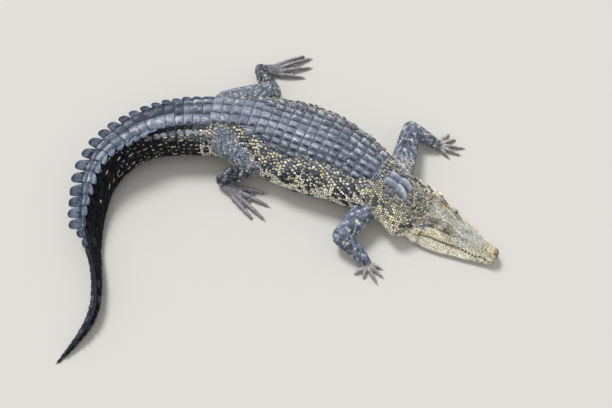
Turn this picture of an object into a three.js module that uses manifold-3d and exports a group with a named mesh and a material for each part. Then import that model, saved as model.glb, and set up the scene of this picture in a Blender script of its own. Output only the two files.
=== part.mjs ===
// A young adult estuarine crocodile, life size, lying on its belly with the tail swept round to its right.
// Millimetres, +Z up. The body follows a midline of arcs, and the limbs are tapered capsules between joints.
import * as THREE from 'three';
import { mergeVertices } from 'three/addons/utils/BufferGeometryUtils.js';
import Module from 'manifold-3d';

const wasm = await Module();
wasm.setup();

// ---------------------------------------------------------------- driving dimensions

const JOINT_GAP = 0.4; // space left where two neighbouring pieces meet
const GROUND_SINK = 1.5; // how far a soft underside would reach below the floor if it weren't flattened

// The midline from the snout tip back to the tail tip: each arc's length and how far the heading turns on it.
const SNOUT_TIP = { x: 628, y: -213, heading: -33.6 };
const MIDLINE_ARCS = [
  { name: 'head and neck', length: 560, turn: 0 },
  { name: 'shoulders', length: 140, turn: 10 },
  { name: 'trunk', length: 180, turn: 4 },
  { name: 'loin', length: 160, turn: 12 },
  { name: 'tail root', length: 200, turn: 20 },
  { name: 'tail bend', length: 390, turn: 73 },
  { name: 'tail middle', length: 115, turn: 14 },
  { name: 'tail waist', length: 75, turn: 7 },
  { name: 'tail return', length: 140, turn: -15 },
  { name: 'tail hook', length: 120, turn: -34 },
  { name: 'tail end', length: 125, turn: -11 },
];
const BODY_LENGTH = MIDLINE_ARCS.reduce((sum, arc) => sum + arc.length, 0);

// Body sections by distance from the snout: half width, height, clearance below, the widest line's share of
// the height, squareness above and below it, how far the section rolls towards the animal's left in degrees,
// and how far its middle stands to the left of the midline.
const BODY_SECTIONS = [
  { at: 280, half: 96, high: 91, lift: 1, widest: 0.4, over: 1.9, under: 2.5, roll: 9, shift: 0 },
  { at: 300, half: 107, high: 95, lift: 1, widest: 0.4, over: 2, under: 2.5, roll: 9, shift: -6 },
  { at: 330, half: 119, high: 103, lift: 1, widest: 0.4, over: 2.1, under: 2.5, roll: 10, shift: -10 },
  { at: 390, half: 109, high: 120, lift: 0, widest: 0.4, over: 2.1, under: 2.6, roll: 13, shift: -3 },
  { at: 460, half: 116, high: 138, lift: 0, widest: 0.42, over: 2.1, under: 2.7, roll: 10, shift: 0 },
  { at: 580, half: 141, high: 158, lift: 0, widest: 0.42, over: 2.15, under: 2.8, roll: 6, shift: 0 },
  { at: 700, half: 158, high: 168, lift: 0, widest: 0.42, over: 2.2, under: 2.8, roll: 3, shift: 0 },
  { at: 780, half: 160, high: 168, lift: 0, widest: 0.42, over: 2.2, under: 2.8, roll: 2, shift: 0 },
  { at: 890, half: 141, high: 164, lift: 0, widest: 0.43, over: 2.25, under: 2.8, roll: 3, shift: 0 },
  { at: 1035, half: 108, high: 156, lift: 0, widest: 0.45, over: 2.35, under: 2.6, roll: 5, shift: -4 },
  { at: 1130, half: 107, high: 151, lift: 0, widest: 0.46, over: 2.5, under: 2.5, roll: 10, shift: -8 },
  { at: 1240, half: 98, high: 144, lift: 0, widest: 0.48, over: 2.7, under: 2.5, roll: 14, shift: -8 },
  { at: 1320, half: 86, high: 139, lift: 0, widest: 0.48, over: 2.7, under: 2.5, roll: 18, shift: -6 },
  { at: 1393, half: 75, high: 134, lift: 0, widest: 0.5, over: 2.8, under: 2.5, roll: 23, shift: -3 },
  { at: 1456, half: 66, high: 129, lift: 0, widest: 0.5, over: 2.8, under: 2.5, roll: 28, shift: 0 },
  { at: 1520, half: 54, high: 119, lift: 0, widest: 0.5, over: 2.8, under: 2.5, roll: 33, shift: 0 },
  { at: 1575, half: 43, high: 106, lift: 0, widest: 0.5, over: 2.8, under: 2.5, roll: 37, shift: -2 },
  { at: 1630, half: 35, high: 90, lift: 0, widest: 0.5, over: 2.7, under: 2.5, roll: 40, shift: -5 },
  { at: 1690, half: 28, high: 80, lift: 0, widest: 0.5, over: 2.6, under: 2.5, roll: 38, shift: -5 },
  { at: 1745, half: 24, high: 72, lift: 0, widest: 0.5, over: 2.5, under: 2.4, roll: 30, shift: -3 },
  { at: 1815, half: 19, high: 65, lift: 0, widest: 0.5, over: 2.4, under: 2.4, roll: 14, shift: 0 },
  { at: 1890, half: 17.5, high: 61, lift: 0, widest: 0.5, over: 2.3, under: 2.3, roll: -4, shift: 0 },
  { at: 1960, half: 17, high: 54, lift: 0, widest: 0.5, over: 2.3, under: 2.3, roll: -14, shift: 0 },
  { at: 2030, half: 16, high: 46, lift: 0, widest: 0.5, over: 2.3, under: 2.3, roll: -22, shift: 0 },
  { at: 2085, half: 13, high: 35, lift: 0, widest: 0.5, over: 2.2, under: 2.2, roll: -22, shift: 0 },
  { at: 2140, half: 9, high: 22, lift: 0, widest: 0.5, over: 2.1, under: 2.1, roll: -14, shift: 0 },
  { at: BODY_LENGTH, half: 2.5, high: 6, lift: 0, widest: 0.5, over: 2, under: 2, roll: 0, shift: 0 },
];
const NECK = { from: 280, to: 470 };
const TRUNK = { from: 470, to: 1010 };
const TAIL_CUTS = [1010, 1310, 1610, 1910, BODY_LENGTH];

// The tail's crest: two rows of upright scutes that spread from the pelvis and join into one row further
// back.
const CREST = { from: 1095, joins: 1730, to: 2110, pitch: 33, endPitch: 19, thick: 12, root: 5 };
const CREST_HEIGHT = [
  { at: 1095, high: 10 }, { at: 1250, high: 17 }, { at: 1500, high: 34 },
  { at: 1690, high: 45 }, { at: 1790, high: 26 }, { at: 2150, high: 9 },
];
// How far each crest row stands from the dorsal line, as an angle round the section.
const CREST_SPREAD = [{ at: 1035, angle: 36 }, { at: 1400, angle: 26 }, { at: 1730, angle: 9 }];

// The neck's shield of large keeled scutes, as rows of [distance from the snout, offset from the midline].
const NUCHAL = { long: 43, wide: 33, high: 11, root: 8 };
const NUCHAL_PLACES = [[374, 19], [374, -19], [417, 15], [417, -15], [398, 52], [398, -52]];

// Head, measured from the snout tip along its own axis: half widths of the upper and lower jaw, then heights
// above the floor of the crown, the mouth line and the chin. The head leans a little towards the animal's
// left.
const SKULL = { jaw: 280, lean: 0.15, rings: 15 };
const SKULL_SECTIONS = [
  { at: 0, upper: 14, lower: 12, high: 46, mouth: 31, chin: 21 },
  { at: 8, upper: 22, lower: 22, high: 55, mouth: 30, chin: 15 },
  { at: 22, upper: 28, lower: 31, high: 59, mouth: 30, chin: 12 },
  { at: 40, upper: 27, lower: 39, high: 56, mouth: 34, chin: 11 },
  { at: 62, upper: 34, lower: 46, high: 56, mouth: 32, chin: 10 },
  { at: 85, upper: 38, lower: 55, high: 58, mouth: 33, chin: 8 },
  { at: 120, upper: 42, lower: 66, high: 64, mouth: 36, chin: 7 },
  { at: 160, upper: 52, lower: 79, high: 75, mouth: 38, chin: 5 },
  { at: 190, upper: 60, lower: 88, high: 88, mouth: 41, chin: 3 },
  { at: 215, upper: 66, lower: 93, high: 93, mouth: 46, chin: 2 },
  { at: 250, upper: 80, lower: 97, high: 95, mouth: 52, chin: 1 },
  { at: 280, upper: 92, lower: 101, high: 92, mouth: 56, chin: 0 },
];
const EYE = { at: 193, off: 30, high: 88.5, radius: 10.5 };
const ORBIT = { at: 193, off: 27, rise: 15, long: 20, wide: 13 };
const TABLE = { front: 204, back: 262, frontHalf: 21, backHalf: 33, high: 97 };

// Teeth: distance from the snout, length and radius. They hang from the upper jaw over the flank of the
// lower one.
const TOOTH_ROOT = 3;
const UPPER_TEETH = [
  [10, 9, 2.4], [24, 10, 2.8], [56, 9, 2.8], [67, 11, 3], [78, 13, 3.5],
  [90, 11, 3.2], [103, 9, 2.8], [117, 9, 2.8], [132, 7, 2.4],
];
// The great fourth tooth, in the notch behind the nostrils.
const LOWER_TOOTH = { at: 41, length: 15, radius: 3.2 };

// Limbs: joints in millimetres in the body's own drawing frame, radii at each joint, then the hand or foot.
// Digits are counted from the inner side: heading in degrees, length from the knuckle, and whether it has a
// claw.
const HAND = { palmHalf: 22, reach: 28, digit: 6.4, arch: 4, claw: 13, web: 0 };
const FOOT = { palmHalf: 27, reach: 74, digit: 7.4, arch: 5, claw: 16, web: 52 };
const LIMBS = [
  {
    name: 'front_right', upper: 'upper_arm', lower: 'forearm', end: 'hand', build: HAND,
    root: [258, 18, 76], knee: [118, -143, 58], ankle: [193, -211, 22],
    rootR: 42, kneeR: 31, midR: 32, ankleR: 19, heading: -64,
    digits: [[-26, 30, true], [-42, 50, true], [-62, 55, true], [-99, 35, false], [-148, 32, false]],
  },
  {
    name: 'front_left', upper: 'upper_arm', lower: 'forearm', end: 'hand', build: HAND,
    root: [324, 88, 70], knee: [370, 262, 58], ankle: [460, 222, 22],
    rootR: 42, kneeR: 30, midR: 28, ankleR: 19, heading: 2,
    digits: [[-50, 32, true], [-23, 60, true], [-6, 69, true], [20, 55, false], [43, 46, false]],
  },
  {
    name: 'rear_right', upper: 'thigh', lower: 'shank', end: 'foot', build: FOOT,
    root: [-282, 198, 100], knee: [-164, 120, 76], ankle: [-292, 78, 28],
    rootR: 57, kneeR: 45, midR: 36, ankleR: 23, heading: -37,
    digits: [[-12, 81, true], [-27, 107, true], [-43, 126, true], [-49, 104, false]],
  },
  {
    name: 'rear_left', upper: 'thigh', lower: 'shank', end: 'foot', build: FOOT,
    root: [-272, 340, 92], knee: [-126, 408, 68], ankle: [-168, 534, 28],
    rootR: 54, kneeR: 37, midR: 34, ankleR: 22, heading: 8,
    digits: [[-5, 84, true], [10, 109, true], [22, 119, true], [24, 109, false]],
  },
];

const COLOURS = {
  back: '#6f7580', jaw: '#cfcba6', skull: '#a9a78c', limb: '#6b7280', foot: '#8a8583',
  claw: '#4a443d', eye: '#8a7a3a', tail: '#3f444c',
};

// ---------------------------------------------------------------- small tools

const rad = THREE.MathUtils.degToRad;
const lerp = THREE.MathUtils.lerp;

/** A value from rows sorted by `at`, joined by smooth steps that never overshoot (monotone cubic). */
function alongRows(rows, key, at) {
  const n = rows.length;
  const place = THREE.MathUtils.clamp(at, rows[0].at, rows[n - 1].at);
  let i = 0;
  while (i < n - 2 && place > rows[i + 1].at) i += 1;
  const rise = (k) => (rows[k + 1][key] - rows[k][key]) / (rows[k + 1].at - rows[k].at);
  const slope = (k) => {
    if (k === 0 || k === n - 1) return rise(Math.min(k, n - 2));
    const [before, after] = [rise(k - 1), rise(k)];
    return before * after <= 0 ? 0 : (2 * before * after) / (before + after);
  };
  const span = rows[i + 1].at - rows[i].at;
  const t = (place - rows[i].at) / span;
  const [a, b, c, d] = [rows[i][key], slope(i) * span, rows[i + 1][key], slope(i + 1) * span];
  const [u, tt] = [1 - t, t * t];
  return a * (1 + 2 * t) * u * u + b * t * u * u + c * tt * (3 - 2 * t) + d * tt * (t - 1);
}

/** A signed power, for the sides of a superellipse. */
const squared = (value, squareness) => Math.sign(value) * Math.abs(value) ** (2 / squareness);

/** The same geometry with every vertex carried to place(x, y, z). */
function reshaped(geometry, place) {
  const p = geometry.getAttribute('position');
  for (let i = 0; i < p.count; i += 1) {
    const v = place(p.getX(i), p.getY(i), p.getZ(i));
    p.setXYZ(i, v.x, v.y, v.z);
  }
  return geometry;
}

/** A manifold-3d solid of a closed geometry, turned to face outwards. */
function solid(geometry) {
  geometry.deleteAttribute('normal');
  geometry.deleteAttribute('uv');
  const merged = mergeVertices(geometry, 1e-3);
  const triVerts = new Uint32Array(merged.index.array);
  const build = () => new wasm.Manifold(
    new wasm.Mesh({ numProp: 3, vertProperties: merged.attributes.position.array, triVerts }),
  );
  const made = build();
  if (made.volume() > 0) return made;
  triVerts.reverse();
  return build();
}

/** The largest body of a solid, so that a cut leaves no loose chips. */
const largest = (made) => made.decompose().reduce((a, b) => (a.volume() > b.volume() ? a : b));

/** What is above the floor. */
const onFloor = (made) => made.trimByPlane([0, 0, 1], 0);

/** A three.js mesh of a finished solid. */
function meshOf(name, made, colour, roughness = 0.7) {
  const { numProp, vertProperties, triVerts } = largest(onFloor(made)).getMesh();
  const points = new Float32Array((vertProperties.length / numProp) * 3);
  for (let i = 0; i < points.length / 3; i += 1) {
    points.set(vertProperties.subarray(i * numProp, i * numProp + 3), i * 3);
  }
  const geometry = new THREE.BufferGeometry()
    .setAttribute('position', new THREE.BufferAttribute(points, 3))
    .setIndex(new THREE.BufferAttribute(triVerts, 1));
  geometry.computeVertexNormals();
  const material = new THREE.MeshStandardMaterial({ color: colour, roughness, metalness: 0 });
  const mesh = new THREE.Mesh(geometry, material);
  mesh.name = name;
  return mesh;
}

// ---------------------------------------------------------------- midline and body

/** The midline at a distance from the snout: place on the floor plan, forward direction and leftward
 * direction. */
function midline(at) {
  let { x, y, heading } = SNOUT_TIP;
  let left = at;
  for (const arc of MIDLINE_ARCS) {
    const run = Math.min(left, arc.length);
    const turned = (arc.turn * run) / arc.length;
    const chord = run * (arc.turn ? Math.sin(rad(turned / 2)) / rad(turned / 2 || 1e-9) : 1);
    x -= chord * Math.cos(rad(heading + turned / 2));
    y -= chord * Math.sin(rad(heading + turned / 2));
    heading += turned;
    left -= run;
    if (left <= 0) break;
  }
  const forward = new THREE.Vector3(Math.cos(rad(heading)), Math.sin(rad(heading)), 0);
  return { centre: new THREE.Vector3(x, y, 0), forward, side: new THREE.Vector3(-forward.y, forward.x, 0) };
}

/** The body's section at a distance from the snout, as a function of the angle from the dorsal line to the
 * left. */
function bodySection(at, grow = 0) {
  const value = (key) => alongRows(BODY_SECTIONS, key, at);
  const half = value('half') + grow;
  const high = value('high');
  const below = high * value('widest') + grow;
  const above = high * (1 - value('widest')) + grow;
  const [over, under, roll] = [value('over'), value('under'), rad(value('roll'))];
  const outline = (angle) => {
    const [s, c] = [Math.sin(angle), Math.cos(angle)];
    const a = half * squared(s, c > 0 ? over : under);
    const b = c > 0 ? above * squared(c, over) : below * squared(c, under);
    return [a * Math.cos(roll) + b * Math.sin(roll), b * Math.cos(roll) - a * Math.sin(roll)];
  };
  let lowest = 0;
  for (let k = 0; k < 48; k += 1) lowest = Math.min(lowest, outline((k / 24) * Math.PI)[1]);
  const rise = value('lift') - GROUND_SINK - lowest - grow;
  const { centre, side } = midline(at);
  const shift = value('shift');
  return (angle, share = 1) => {
    const [a, b] = outline(angle);
    return centre.clone().addScaledVector(side, shift + a * share).setZ(rise + b * share);
  };
}

/** A length of the body between two distances from the snout. */
function bodyLength(from, to, rings, sides, grow = 0) {
  const sections = new Map();
  const geometry = new THREE.CylinderGeometry(1, 1, 1, sides, rings);
  return solid(reshaped(geometry, (x, y, z) => {
    const at = lerp(from, to, 0.5 - y);
    const key = at.toFixed(3);
    if (!sections.has(key)) sections.set(key, bodySection(at, grow));
    return sections.get(key)(Math.atan2(x, z), Math.min(1, Math.hypot(x, z)));
  }));
}

/** An upright scute: a keeled block that narrows to a short ridge, on the body at an angle from the dorsal
 * line. */
function scute({ at, angle, long, wide, high, root, ridge = 0.5, lean = 0.25 }) {
  const section = bodySection(at);
  const { forward } = midline(at);
  const out = section(angle + 0.02).sub(section(angle - 0.02)).cross(forward).normalize();
  if (out.z < 0) out.negate();
  const across = out.clone().cross(forward);
  const profile = new THREE.Shape([[-0.5, 0], [0.5, 0], [0, 1]].map(([x, y]) => new THREE.Vector2(x, y)));
  const geometry = new THREE.ExtrudeGeometry(profile, { depth: 1, steps: 1, bevelEnabled: false });
  return solid(reshaped(geometry, (x, y, z) => {
    const run = lerp(z - 0.5, (z - 0.5) * ridge - lean, y) * long;
    return section(angle).addScaledVector(out, lerp(-root, high, y))
      .addScaledVector(forward, run).addScaledVector(across, x * wide);
  }));
}

/** The crest scutes that stand on the tail between two distances from the snout. */
function crestBetween(from, to) {
  const made = [];
  let pitch = CREST.pitch;
  for (let at = CREST.from; at < CREST.to; at += pitch) {
    const back = (at - CREST.from) / (CREST.to - CREST.from);
    pitch = lerp(CREST.pitch, CREST.endPitch, back);
    if (at - pitch / 2 < from || at + pitch / 2 > to) continue;
    const double = at < CREST.joins;
    const spread = double ? alongRows(CREST_SPREAD, 'angle', at) : 0;
    const high = alongRows(CREST_HEIGHT, 'high', at);
    for (const sign of double ? [1, -1] : [1]) {
      made.push(scute({
        at, angle: rad(spread * sign), long: pitch * 0.92, wide: CREST.thick, high, root: CREST.root,
      }));
    }
  }
  return made;
}

const joined = (parts) => parts.reduce((a, b) => a.add(b));
const without = (made, cutters) => cutters.reduce((a, b) => a.subtract(b), made);

// ---------------------------------------------------------------- head

/** A point of the head: `at` back from the snout tip, `off` to the animal's left, and its height. */
function headPoint(at, off, high) {
  const { centre, side } = midline(at);
  return centre.clone().addScaledVector(side, off + high * SKULL.lean).setZ(high);
}

/** The head's half width at the lips and below them, and the heights of its mouth line and chin. */
const HEAD_KEYS = ['upper', 'lower', 'mouth', 'chin'];
const headSizes = (at) => HEAD_KEYS.map((key) => alongRows(SKULL_SECTIONS, key, at));

/** How strongly a bump centred on (at, off) shows at a place on the head, from 0 to 1. */
const bump = (at, off, centreAt, centreOff, long, wide) => Math.exp(
  -(((at - centreAt) / long) ** 2) - ((off - centreOff) / wide) ** 2,
);

/** The height of the top of the head over its plan: a vault with skull table, orbits, nostril and snout
 * ridges. */
function skullTop(at, off, half) {
  const share = Math.min(1, Math.abs(off) / half);
  const mouth = alongRows(SKULL_SECTIONS, 'mouth', at);
  const high = alongRows(SKULL_SECTIONS, 'high', at);
  let z = mouth + (high - mouth) * (1 - share ** 2.6) ** 0.62;
  const tableHalf = lerp(TABLE.frontHalf, TABLE.backHalf, (at - TABLE.front) / (TABLE.back - TABLE.front));
  const onTable = THREE.MathUtils.smoothstep(tableHalf + 7 - Math.abs(off), 0, 7)
    * THREE.MathUtils.smoothstep(at, TABLE.front - 14, TABLE.front + 8)
    * (1 - THREE.MathUtils.smoothstep(at, TABLE.back - 2, TABLE.back + 10));
  z = lerp(z, TABLE.high, onTable * 0.96);
  z += ORBIT.rise * bump(at, Math.abs(off), ORBIT.at, ORBIT.off, ORBIT.long, ORBIT.wide) * (1 - onTable);
  z -= 3 * bump(at, off, EYE.at, 0, 16, 9);
  z += 4 * bump(at, off, 14, 0, 11, 14);
  return z + 2.5 * bump(at, Math.abs(off), 142, 20, 34, 6);
}

/** A jaw as one closed block with a flat bite: each ring is `arch` steps round the outside and one across.
 * Both jaws have their rings at the same places, so that their bites lie together. */
function jawBlock(outline, arch) {
  const geometry = new THREE.CylinderGeometry(1, 1, 1, arch + 1, SKULL.rings);
  return solid(reshaped(geometry, (x, y, z) => {
    const at = SKULL.jaw * (0.5 - y) ** 1.25;
    const turn = (Math.atan2(x, z) / (2 * Math.PI) + 1) % 1;
    const [off, high] = outline(at, 1 - (2 * turn * (arch + 1)) / arch);
    const rim = Math.min(1, Math.hypot(x, z));
    return headPoint(at, off * rim, lerp(alongRows(SKULL_SECTIONS, 'mouth', at), high, rim));
  }));
}

/** The upper jaw and skull: the outside at a share from +1 (left lip) over the crown to -1 (right lip). */
function skullOutline(at, across) {
  const half = alongRows(SKULL_SECTIONS, 'upper', at);
  const off = half * Math.sin((across * Math.PI) / 2);
  return [off, skullTop(at, off, half) + JOINT_GAP / 2];
}

/** The lower jaw: from lip to lip, swelling out below the lips and turning in to a flat chin and throat. */
function jawOutline(at, across) {
  const [lip, half, mouth, chin] = headSizes(at);
  const widest = lerp(chin, mouth, 0.38);
  const share = Math.abs(across);
  if (share >= 0.6) {
    const down = (1 - share) / 0.4;
    return [Math.sign(across) * lerp(lip, half, down ** 0.7), lerp(mouth, widest, down) - JOINT_GAP / 2];
  }
  const angle = ((share / 0.6) * Math.PI) / 2;
  const drop = (widest - chin) * Math.cos(angle) ** 0.7;
  return [Math.sign(across) * half * Math.sin(angle) ** 0.8, widest - drop];
}

/** A tooth at the lip, hanging down over the lower jaw's flank or standing up into the upper jaw's notch. */
function tooth(at, sign, length, radius, down, grow = 0) {
  const [lip, half, mouth, chin] = headSizes(at);
  const flare = down ? THREE.MathUtils.clamp((half - lip) / (mouth - chin), 0, 0.9) : 0;
  const long = length + TOOTH_ROOT + grow;
  const geometry = new THREE.ConeGeometry(radius + grow, long, 4);
  return solid(reshaped(geometry, (x, y, z) => {
    const past = y + long / 2 - TOOTH_ROOT;
    const off = lip - 0.8 + z + Math.max(past, 0) * flare;
    return headPoint(at + x, sign * off, mouth + past * (down ? -1 : 1));
  }));
}

const upperTeeth = (grow = 0) => joined([1, -1].flatMap(
  (sign) => UPPER_TEETH.map(([at, length, radius]) => tooth(at, sign, length, radius, true, grow)),
));
const lowerTeeth = (grow = 0) => joined(
  [1, -1].map((sign) => tooth(LOWER_TOOTH.at, sign, LOWER_TOOTH.length, LOWER_TOOTH.radius, false, grow)),
);

function eyeball(sign, grow = 0) {
  const place = headPoint(EYE.at, sign * EYE.off, EYE.high);
  return solid(new THREE.SphereGeometry(EYE.radius + grow, 11, 7).translate(place.x, place.y, place.z));
}

// ---------------------------------------------------------------- limbs

/** A tapered capsule from one joint to the next, its section flattened by `flat` and swollen midway by
 * `swell`. */
function capsule(from, to, fromR, toR, shape) {
  const { sides, rings = 3, caps = 2, flat = 1, swell = 0, arch = 0, grow = 0 } = shape;
  const [a, b] = [new THREE.Vector3(...from), new THREE.Vector3(...to)];
  const axis = b.clone().sub(a).normalize();
  const level = new THREE.Vector3(0, 0, 1).cross(axis).normalize();
  const upright = axis.clone().cross(level);
  const geometry = new THREE.CapsuleGeometry(1, 1, caps, sides, rings);
  return solid(reshaped(geometry, (x, y, z) => {
    const t = THREE.MathUtils.clamp(y + 0.5, 0, 1);
    const cap = y - THREE.MathUtils.clamp(y, -0.5, 0.5);
    const radius = lerp(fromR, toR, t) + swell * Math.sin(Math.PI * t) + grow;
    const rise = z * radius * flat + arch * Math.sin(Math.PI * t);
    return a.clone().lerp(b, t).addScaledVector(axis, cap * radius)
      .addScaledVector(level, x * radius).addScaledVector(upright, rise);
  }));
}

/** A point on the floor plan reached from another by a heading and a run. */
function reach([x, y], heading, run, z) {
  return [x + run * Math.cos(rad(heading)), y + run * Math.sin(rad(heading)), z];
}

/** The knuckle each digit grows from: spread across the front edge of the palm. */
function knuckle({ name, build, digits, heading, ankle }, index) {
  const inner = name.endsWith('right') ? 1 : -1;
  const across = inner * (1 - (2 * index) / (digits.length - 1)) * build.palmHalf * 0.82;
  const front = reach(ankle, heading, build.reach - Math.abs(across) * 0.35, 0);
  return reach(front, heading + 90, across, build.digit + 2);
}

/** The hand or foot: a low palm, its arched digits, and the web between them. */
function extremity(limb, grow = 0) {
  const { build, ankle, heading, ankleR, digits } = limb;
  const front = reach(ankle, heading, build.reach - 6, build.digit + 1);
  const palmShape = { sides: 8, rings: 2, caps: 1, flat: 0.5, grow };
  const palm = capsule(ankle, front, ankleR * 0.92, build.palmHalf * 0.96, palmShape);
  const fingers = digits.map(([angle, length], index) => {
    const start = knuckle(limb, index);
    const tip = reach(start, angle, length - build.digit * 0.6, build.digit * 0.6);
    const { digit, arch } = build;
    return capsule(start, tip, digit * 1.2, digit * 0.72, { sides: 5, rings: 2, caps: 1, arch, grow });
  });
  return joined([palm, ...fingers, ...webs(limb, grow)]);
}

/** The skin between neighbouring digits of a foot: thin wedges near the floor. */
function webs(limb, grow) {
  const { build, digits } = limb;
  if (!build.web) return [];
  return digits.slice(1).map((_, k) => {
    const [a, b] = [knuckle(limb, k), knuckle(limb, k + 1)];
    const [a2, b2] = [reach(a, digits[k][0], build.web, 0), reach(b, digits[k + 1][0], build.web, 0)];
    const outline = new THREE.Shape([a, a2, b2, b].map(([x, y]) => new THREE.Vector2(x, y)));
    const geometry = new THREE.ExtrudeGeometry(outline, { depth: 4 + grow, bevelEnabled: false, steps: 1 });
    return solid(geometry.translate(0, 0, 2));
  });
}

/** The claw of one digit: a cone that bends down to the floor. */
function claw(limb, index) {
  const { build, digits } = limb;
  const [angle, length] = digits[index];
  const root = reach(knuckle(limb, index), angle, length - build.digit * 0.7, build.digit * 0.7);
  const radius = build.digit * 0.52;
  return solid(reshaped(new THREE.ConeGeometry(1, 1, 5, 2), (x, y, z) => {
    const t = y + 0.5;
    const run = t * (build.claw + build.digit * 0.7);
    const place = reach(root, angle, run, root[2] + 1.5 - 4.5 * t * t);
    const across = reach([0, 0], angle + 90, x * radius, 0);
    return new THREE.Vector3(place[0] + across[0], place[1] + across[1], place[2] + z * radius);
  }));
}

// ---------------------------------------------------------------- assembly

const model = new THREE.Group();
const trunkGrown = joined([
  bodyLength(NECK.from, NECK.to + 0.2, 6, 20, JOINT_GAP),
  bodyLength(TRUNK.from, TRUNK.to + 0.2, 11, 18, JOINT_GAP),
  bodyLength(TRUNK.to, TAIL_CUTS[1], 8, 12, JOINT_GAP),
]);

function addHead() {
  const skull = jawBlock(skullOutline, 16);
  const jaw = jawBlock(jawOutline, 10);
  const eyes = [1, -1].map((sign) => eyeball(sign, JOINT_GAP));
  const head = without(skull.add(upperTeeth()), [...eyes, lowerTeeth(JOINT_GAP)]);
  const lower = jaw.add(lowerTeeth()).subtract(upperTeeth(JOINT_GAP));
  model.add(meshOf('head', head, COLOURS.skull));
  model.add(meshOf('lower_jaw', lower, COLOURS.jaw));
  model.add(meshOf('eye_left', eyeball(1), COLOURS.eye, 0.15));
  model.add(meshOf('eye_right', eyeball(-1), COLOURS.eye, 0.15));
}

function addBody() {
  const shield = NUCHAL_PLACES.map(([at, off]) => {
    const half = alongRows(BODY_SECTIONS, 'half', at);
    const small = Math.abs(off) > 30 ? 0.72 : 1;
    return scute({
      at, angle: Math.asin(off / half), long: NUCHAL.long * small, wide: NUCHAL.wide * small,
      high: NUCHAL.high * small, root: NUCHAL.root, lean: 0.12,
    });
  });
  const neck = joined([bodyLength(NECK.from + JOINT_GAP, NECK.to, 6, 20), ...shield]);
  model.add(meshOf('neck', neck, COLOURS.back));
  model.add(meshOf('trunk', bodyLength(TRUNK.from + JOINT_GAP, TRUNK.to, 11, 18), COLOURS.back));
  TAIL_CUTS.slice(1).forEach((to, i) => {
    const from = TAIL_CUTS[i] + JOINT_GAP;
    const length = joined([bodyLength(from, to, 8, 12), ...crestBetween(TAIL_CUTS[i], to)]);
    model.add(meshOf(`tail_${i + 1}`, length, COLOURS.tail));
  });
}

function addLimb(limb) {
  const flesh = (grow) => ({
    upper: capsule(limb.root, limb.knee, limb.rootR, limb.kneeR, { sides: 11, flat: 0.92, swell: 3, grow }),
    lower: capsule(limb.knee, limb.ankle, limb.midR, limb.ankleR, { sides: 10, flat: 0.94, swell: 2, grow }),
  });
  const [plain, grown] = [flesh(0), flesh(JOINT_GAP)];
  const upper = plain.upper.subtract(trunkGrown);
  const lower = without(plain.lower, [grown.upper, trunkGrown]);
  const end = without(extremity(limb), [grown.lower, grown.upper, trunkGrown]);
  model.add(meshOf(`${limb.upper}_${limb.name}`, upper, COLOURS.limb));
  model.add(meshOf(`${limb.lower}_${limb.name}`, lower, COLOURS.limb));
  model.add(meshOf(`${limb.end}_${limb.name}`, end, COLOURS.foot));
  const endGrown = extremity(limb, JOINT_GAP);
  limb.digits.forEach(([, , clawed], index) => {
    if (!clawed) return;
    const made = without(claw(limb, index), [endGrown]);
    model.add(meshOf(`claw_${limb.name}_${index + 1}`, made, COLOURS.claw, 0.4));
  });
}

addHead();
addBody();
LIMBS.forEach(addLimb);

// The origin is on the floor, under the middle of the animal's outline.
const box = new THREE.Box3().setFromObject(model, true);
const middle = box.getCenter(new THREE.Vector3());
model.children.forEach((mesh) => mesh.geometry.translate(-middle.x, -middle.y, 0));

export default model;
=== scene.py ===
"""A life-size still model of a young adult estuarine crocodile, lying on its belly with its tail swept round.

The body is a loft along a midline of arcs, the legs are tapered capsules between joints, and both are fused
into one skin. Scales of every region are closed domed plates laid on that skin. Sizes are in millimetres in
the animal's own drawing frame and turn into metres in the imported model's frame where a mesh is made.
"""

import logging
import math
from collections.abc import Callable, Sequence
from dataclasses import dataclass, field
from enum import Enum
from typing import ClassVar

import bpy
import numpy as np
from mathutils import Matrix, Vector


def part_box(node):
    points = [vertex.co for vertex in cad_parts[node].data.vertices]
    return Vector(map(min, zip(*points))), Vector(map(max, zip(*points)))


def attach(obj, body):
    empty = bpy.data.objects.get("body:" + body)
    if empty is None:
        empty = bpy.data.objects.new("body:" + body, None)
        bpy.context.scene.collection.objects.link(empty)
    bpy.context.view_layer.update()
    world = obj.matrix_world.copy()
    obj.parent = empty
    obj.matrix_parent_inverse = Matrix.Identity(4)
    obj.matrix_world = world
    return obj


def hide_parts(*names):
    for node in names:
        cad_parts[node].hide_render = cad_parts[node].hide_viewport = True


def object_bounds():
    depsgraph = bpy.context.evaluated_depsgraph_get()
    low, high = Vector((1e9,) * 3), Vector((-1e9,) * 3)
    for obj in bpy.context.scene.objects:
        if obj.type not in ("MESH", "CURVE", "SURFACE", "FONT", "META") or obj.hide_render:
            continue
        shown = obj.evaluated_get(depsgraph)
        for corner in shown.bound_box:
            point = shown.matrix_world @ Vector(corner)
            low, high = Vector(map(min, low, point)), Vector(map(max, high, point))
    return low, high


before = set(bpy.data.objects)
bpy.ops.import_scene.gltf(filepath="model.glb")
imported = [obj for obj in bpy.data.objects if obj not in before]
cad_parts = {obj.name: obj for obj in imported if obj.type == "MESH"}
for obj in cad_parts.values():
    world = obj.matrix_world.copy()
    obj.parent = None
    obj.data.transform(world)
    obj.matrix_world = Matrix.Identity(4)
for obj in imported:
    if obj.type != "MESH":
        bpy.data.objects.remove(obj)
CAD_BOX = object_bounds()

Array = np.ndarray
LOG = logging.getLogger("crocodile")
MM = 0.001
TAU = 2 * math.pi

# ---------------------------------------------------------------- the animal's driving sizes

SNOUT = (628.0, -213.0, -33.6)  # place of the snout tip on the floor and the heading there, in degrees
ARCS = (  # length and turn of each arc of the midline, from the snout tip to the tail tip
    (560, 0), (140, 10), (180, 4), (160, 12), (200, 20), (390, 73),
    (115, 14), (75, 7), (140, -15), (120, -34), (125, -11),
)
LENGTH = float(sum(length for length, _ in ARCS))

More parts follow.
